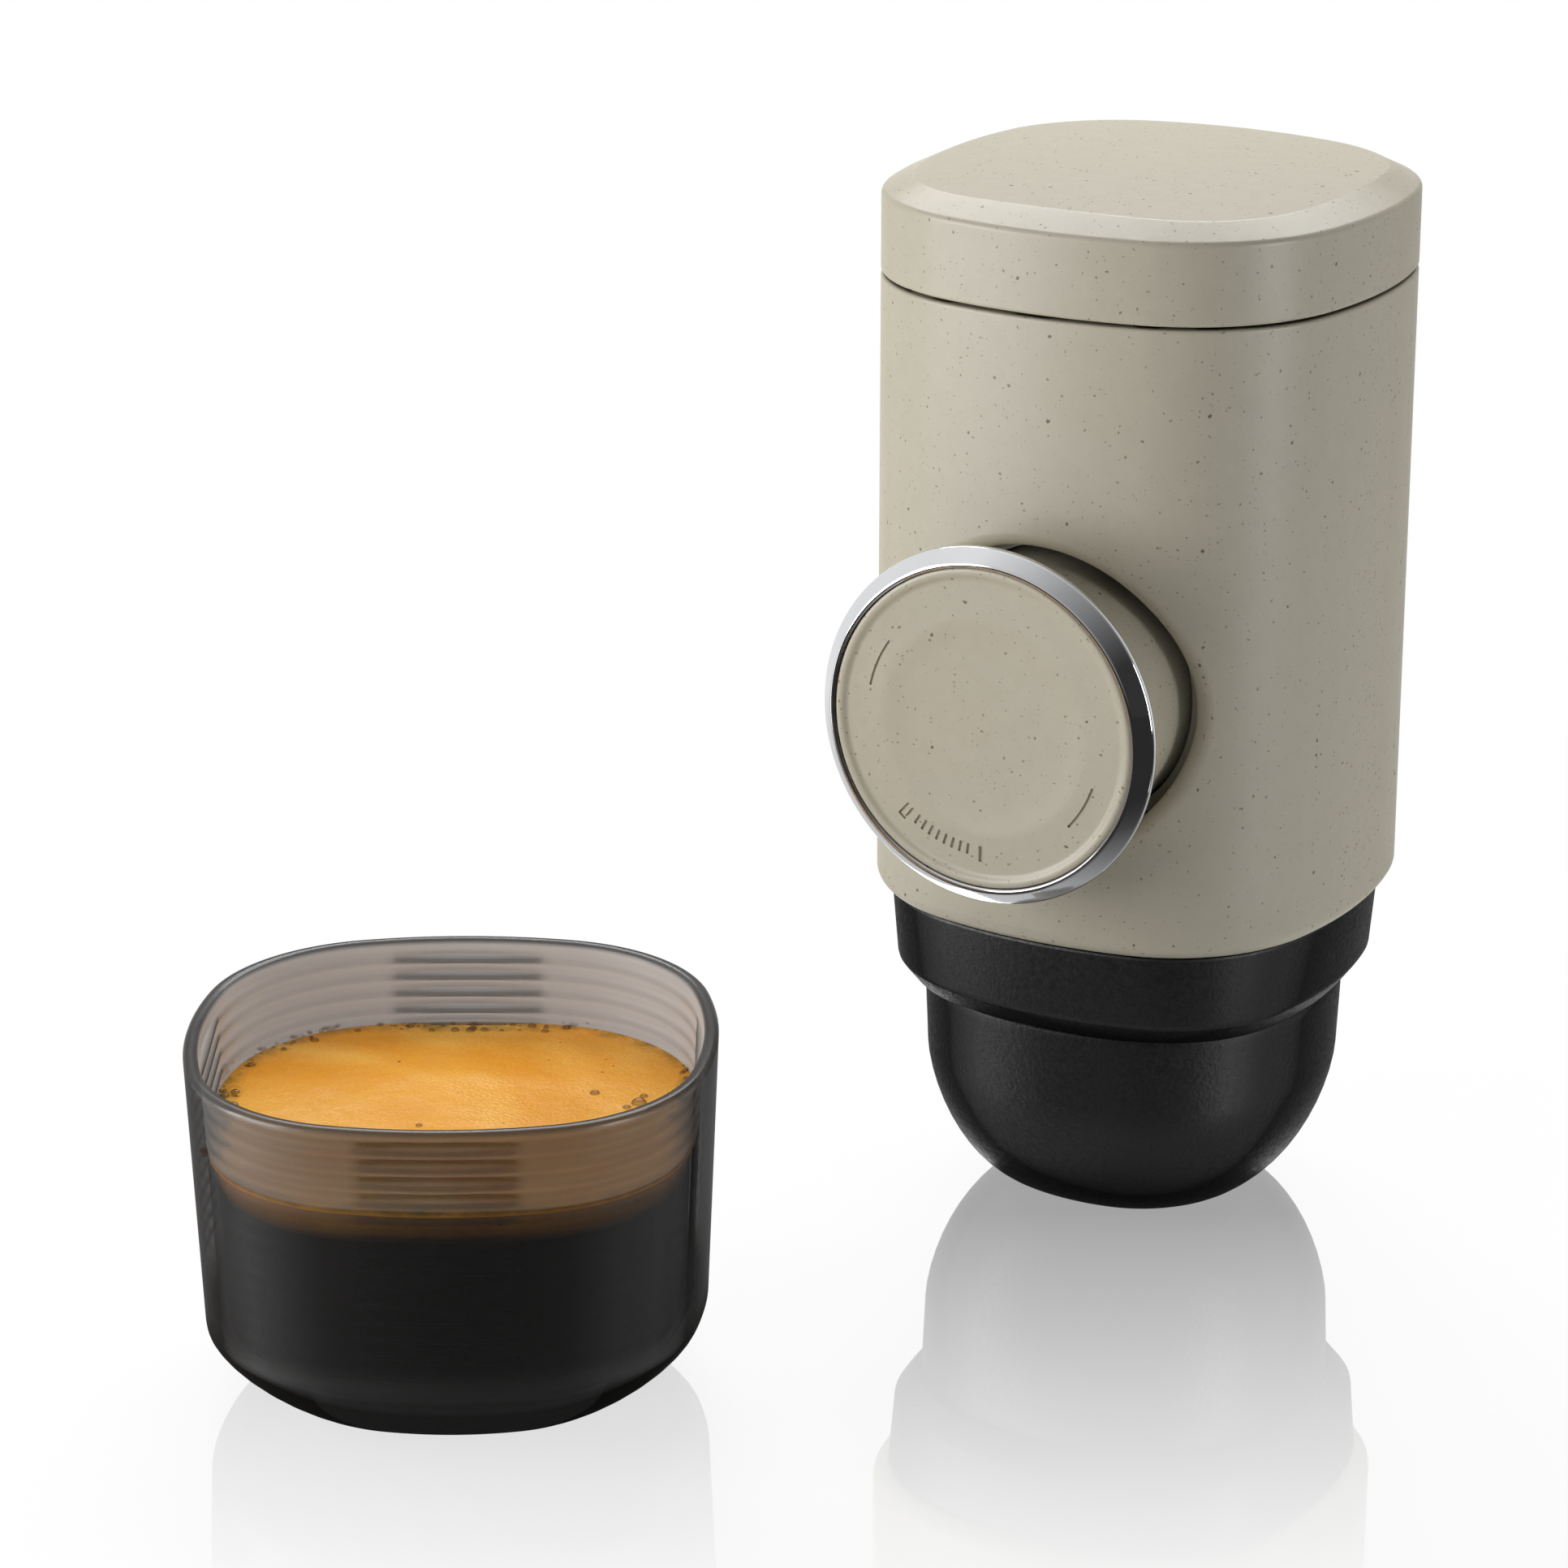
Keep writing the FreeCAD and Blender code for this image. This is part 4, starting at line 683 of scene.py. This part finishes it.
film, shader, place = new_finish("coffee bubble film", Roughness=0.04)
shader.inputs["IOR"].default_value = 1.36
edge_on = add(film, "LayerWeight", {"Blend": 0.4}).outputs["Facing"]
clear = add(film, "MapRange", {"Value": edge_on, "To Min": 0.25, "To Max": 0.95})
join(film, shader.inputs["Alpha"], clear.outputs["Result"])
tea = add(film, "TexNoise", {"Vector": place, "Scale": per_metre(1.1)})
colour = add(film, "Mix", {"Factor": tea.outputs["Fac"], "A": linear("#4A2C0A"), "B": linear("#7A5014")},
             data_type="RGBA")
join(film, shader.inputs["Base Color"], colour.outputs["Result"])

chance = random.Random(7)
bubbles = []
# (how many, first and last angle along the wall, smallest and largest radius in mm)
for count, first, last, smallest, largest in ((90, 118, 205, 0.24, 0.7), (40, 62, 118, 0.2, 0.6),
                                              (30, -14, 34, 0.24, 0.7)):
    for _ in range(count):
        angle = math.radians(chance.uniform(first, last))
        size = smallest + (largest - smallest) * chance.random() ** 2.5
        out = SHORE / max(abs(math.cos(angle)), abs(math.sin(angle)), 1 / CORNER_REACH)
        reach = out - size - 2.6 * chance.random() ** 1.6
        bubbles.append((reach * math.cos(angle), reach * math.sin(angle), size))
# the larger ones: (sideways, back, radius)
bubbles += [(21.5, 3.4, 0.95), (23.1, 2.2, 0.6), (20.1, 2.0, 0.5), (16.2, 6.4, 0.6), (22.0, 5.4, 0.5),
            (-3.9, -3.4, 0.42)]
bpy.ops.object.select_all(action="DESELECT")
for number, (x, y, size) in enumerate(bubbles):
    bpy.ops.mesh.primitive_uv_sphere_add(segments=16, ring_count=10, radius=size * MM,
                                         location=(x * MM, y * MM, (COFFEE_LEVEL - size * 0.1) * MM))
    if number == 0:
        foam_bubbles = bpy.context.object
        foam_bubbles.name = foam_bubbles.data.name = "crema_bubbles"
        bpy.ops.object.transform_apply(location=True, rotation=True, scale=True)
        bpy.ops.object.mode_set(mode="EDIT")
bpy.ops.mesh.select_all(action="SELECT")
bpy.ops.transform.resize(value=(1, 1, 0.7), center_override=(0, 0, COFFEE_LEVEL * MM))
bpy.ops.object.mode_set(mode="OBJECT")
stand_cup(foam_bubbles)
bpy.ops.object.shade_smooth()
foam_bubbles.data.materials.append(film)
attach(foam_bubbles, "cup")


# ---- Studio ----
# A glossy white table that runs out of view, tall soft lamps at the sides and in front, a wide one above.
# The room is dark towards the front right, so that chrome and black plastic have something dark to mirror.

def seen_share(material):
    """1 for the rays that show the background: camera, glossy and transmission rays."""
    path = add(material, "LightPath").outputs
    mirrored = add(material, "Math", {0: path["Is Camera Ray"], 1: path["Is Glossy Ray"]},
                   operation="MAXIMUM")
    return add(material, "Math", {0: mirrored.outputs[0], 1: path["Is Transmission Ray"]},
               operation="MAXIMUM").outputs[0]


TURN, PITCH = math.radians(30), math.radians(19.14)
# level directions as the camera sees them
right = Vector((math.cos(TURN), math.sin(TURN), 0))
front = Vector((math.sin(TURN), -math.cos(TURN), 0))

bpy.ops.object.select_all(action="DESELECT")
bpy.ops.mesh.primitive_plane_add(size=1, location=(0, 0, 0))
table = bpy.context.object
table.name = "table"
table.scale = (8, 8, 1)

table_finish, shader, _ = new_finish("glossy white acrylic table", Roughness=0.5)
shader.inputs["Base Color"].default_value = (0.85, 0.85, 0.85, 1)
glow = add(table_finish, "Emission", {"Color": (1, 1, 1, 1), "Strength": 1.0})
spot = add(table_finish, "NewGeometry").outputs["Position"]
distance = add(table_finish, "VectorMath", {0: spot}, operation="LENGTH")
plain = add(table_finish, "MapRange", {"Value": distance.outputs["Value"], "From Min": 120 * MM,
                                       "From Max": 200 * MM, "To Min": 0.85, "To Max": 1.0})
forward = add(table_finish, "VectorMath", {0: spot, 1: tuple(front)},
              operation="DOT_PRODUCT").outputs["Value"]
sideways = add(table_finish, "VectorMath", {0: spot, 1: tuple(right)},
               operation="DOT_PRODUCT").outputs["Value"]
rays = add(table_finish, "LightPath").outputs
# painted shade: in the shine of the pieces the table's glow is drawn darker from its back to its front, as
# the room does
painted_shine_shade = add(table_finish, "MapRange", {"Value": forward, "From Min": -170 * MM, "From Max": 90 * MM,
                                           "To Min": 1.0, "To Max": 0.03})
strength = add(table_finish, "MapRange", {"Value": rays["Is Glossy Ray"], "To Min": 1.0,
                                          "To Max": painted_shine_shade.outputs["Result"]})
join(table_finish, glow.inputs["Strength"], strength.outputs["Result"])
share = add(table_finish, "MapRange", {"Value": rays["Is Glossy Ray"], "To Min": plain.outputs["Result"],
                                       "To Max": 1.0})
shaded = add(table_finish, "MixShader", {0: share.outputs["Result"], 1: shader.outputs[0],
                                         2: glow.outputs[0]})
# the table's mirror image fades out towards the front, and is fainter beside the cup
mirror = add(table_finish, "BsdfGlossy", {"Color": (1, 1, 1, 1), "Roughness": 0.0})
fade = add(table_finish, "MapRange", {"Value": forward, "From Min": 15 * MM, "From Max": 122 * MM,
                                      "To Min": 0.58, "To Max": 0.0})
aside = add(table_finish, "MapRange", {"Value": sideways, "From Min": -55 * MM, "From Max": -40 * MM,
                                       "To Min": 0.6, "To Max": 1.0})
faint = add(table_finish, "Math", {0: fade.outputs["Result"], 1: aside.outputs["Result"]},
            operation="MULTIPLY")
polished = add(table_finish, "MixShader", {0: faint.outputs[0], 1: shaded.outputs[0], 2: mirror.outputs[0]})
surface = add(table_finish, "MixShader", {0: seen_share(table_finish), 1: shader.outputs[0],
                                          2: polished.outputs[0]})
join(table_finish, table_finish.node_tree.nodes["Material Output"].inputs["Surface"], surface.outputs[0])
table.data.materials.append(table_finish)


# the lamps point at the middle of the maker and the cup
AIM = Vector((-0.01, -0.03, 0.07))


def softbox(name, side, height, distance, size, power):
    """A lamp that isn't seen itself, side degrees to the right of the camera. Metres and watts."""
    light = bpy.data.lights.new(name, "AREA")
    light.shape = "RECTANGLE"
    light.size, light.size_y = size
    light.energy = power
    lamp = bpy.data.objects.new(name, light)
    turn = math.radians(side)
    lamp.location = (front * math.cos(turn) + right * math.sin(turn)) * distance + Vector((0, 0, height))
    lamp.rotation_euler = (AIM - lamp.location).to_track_quat("-Z", "Y").to_euler()
    lamp.visible_camera = False
    bpy.context.scene.collection.objects.link(lamp)
    return lamp


softbox("softbox_front", -62, 0.12, 0.45, (0.12, 0.3), 0.75)
softbox("strip_left", -82, 0.15, 0.7, (0.1, 0.6), 2.3)
# the strip on the right shows only in shine, and a weaker lamp in its place gives the scattered light
softbox("strip_right", 53, 0.1, 0.7, (0.1, 0.6), 2.8).visible_diffuse = False
softbox("fill_right", 53, 0.1, 0.7, (0.1, 0.6), 1.7).visible_glossy = False
softbox("softbox_above", 176, 0.65, 0.55, (0.7, 0.5), 7.6)
softbox("spot_back", -165, 0.36, 0.5, (0.05, 0.05), 0.08)

world = bpy.data.worlds.new("studio")
bpy.context.scene.world = world
world.use_nodes = True
backdrop = world.node_tree.nodes["Background"]
backdrop.inputs["Color"].default_value = (1, 1, 1, 1)
# for mirror shine the room is white at the back and on the left, and dark towards the front right
looking = add(world, "TexCoord").outputs["Generated"]
DARK_SIDE = (right * 0.5 + front * 0.86 + Vector((0, 0, 0.1))).normalized()
towards = add(world, "VectorMath", {0: looking, 1: tuple(DARK_SIDE)}, operation="DOT_PRODUCT")
room = add(world, "MapRange", {"Value": towards.outputs["Value"], "From Min": -0.15, "From Max": 0.95,
                               "To Min": 1.0, "To Max": 0.04})
shiny = add(world, "LightPath").outputs["Is Glossy Ray"]
background = add(world, "MapRange", {"Value": shiny, "To Min": 1.0, "To Max": room.outputs["Result"]})
level = add(world, "MapRange", {"Value": seen_share(world), "To Min": 0.14,
                                "To Max": background.outputs["Result"]})
join(world, backdrop.inputs["Strength"], level.outputs["Result"])


# ---- Camera ----
# A long lens a little above the lid, turned 30 degrees from the knob's axis.
# It stands 0.6 m in front of the maker and looks down on it at 19 degrees.

CAMERA_ASIDE, CAMERA_DISTANCE, CAMERA_HEIGHT = -0.0449, 0.6, 0.2609
camera_data = bpy.data.cameras.new("camera")
camera_data.lens = 114.93
camera_data.sensor_width = 36
camera = bpy.data.objects.new("camera", camera_data)
bpy.context.scene.collection.objects.link(camera)
camera.location = right * CAMERA_ASIDE + front * CAMERA_DISTANCE + Vector((0, 0, CAMERA_HEIGHT))
camera.rotation_euler = (math.radians(90) - PITCH, 0, TURN)
bpy.context.scene.camera = camera

bpy.context.scene.view_settings.view_transform = "Standard"
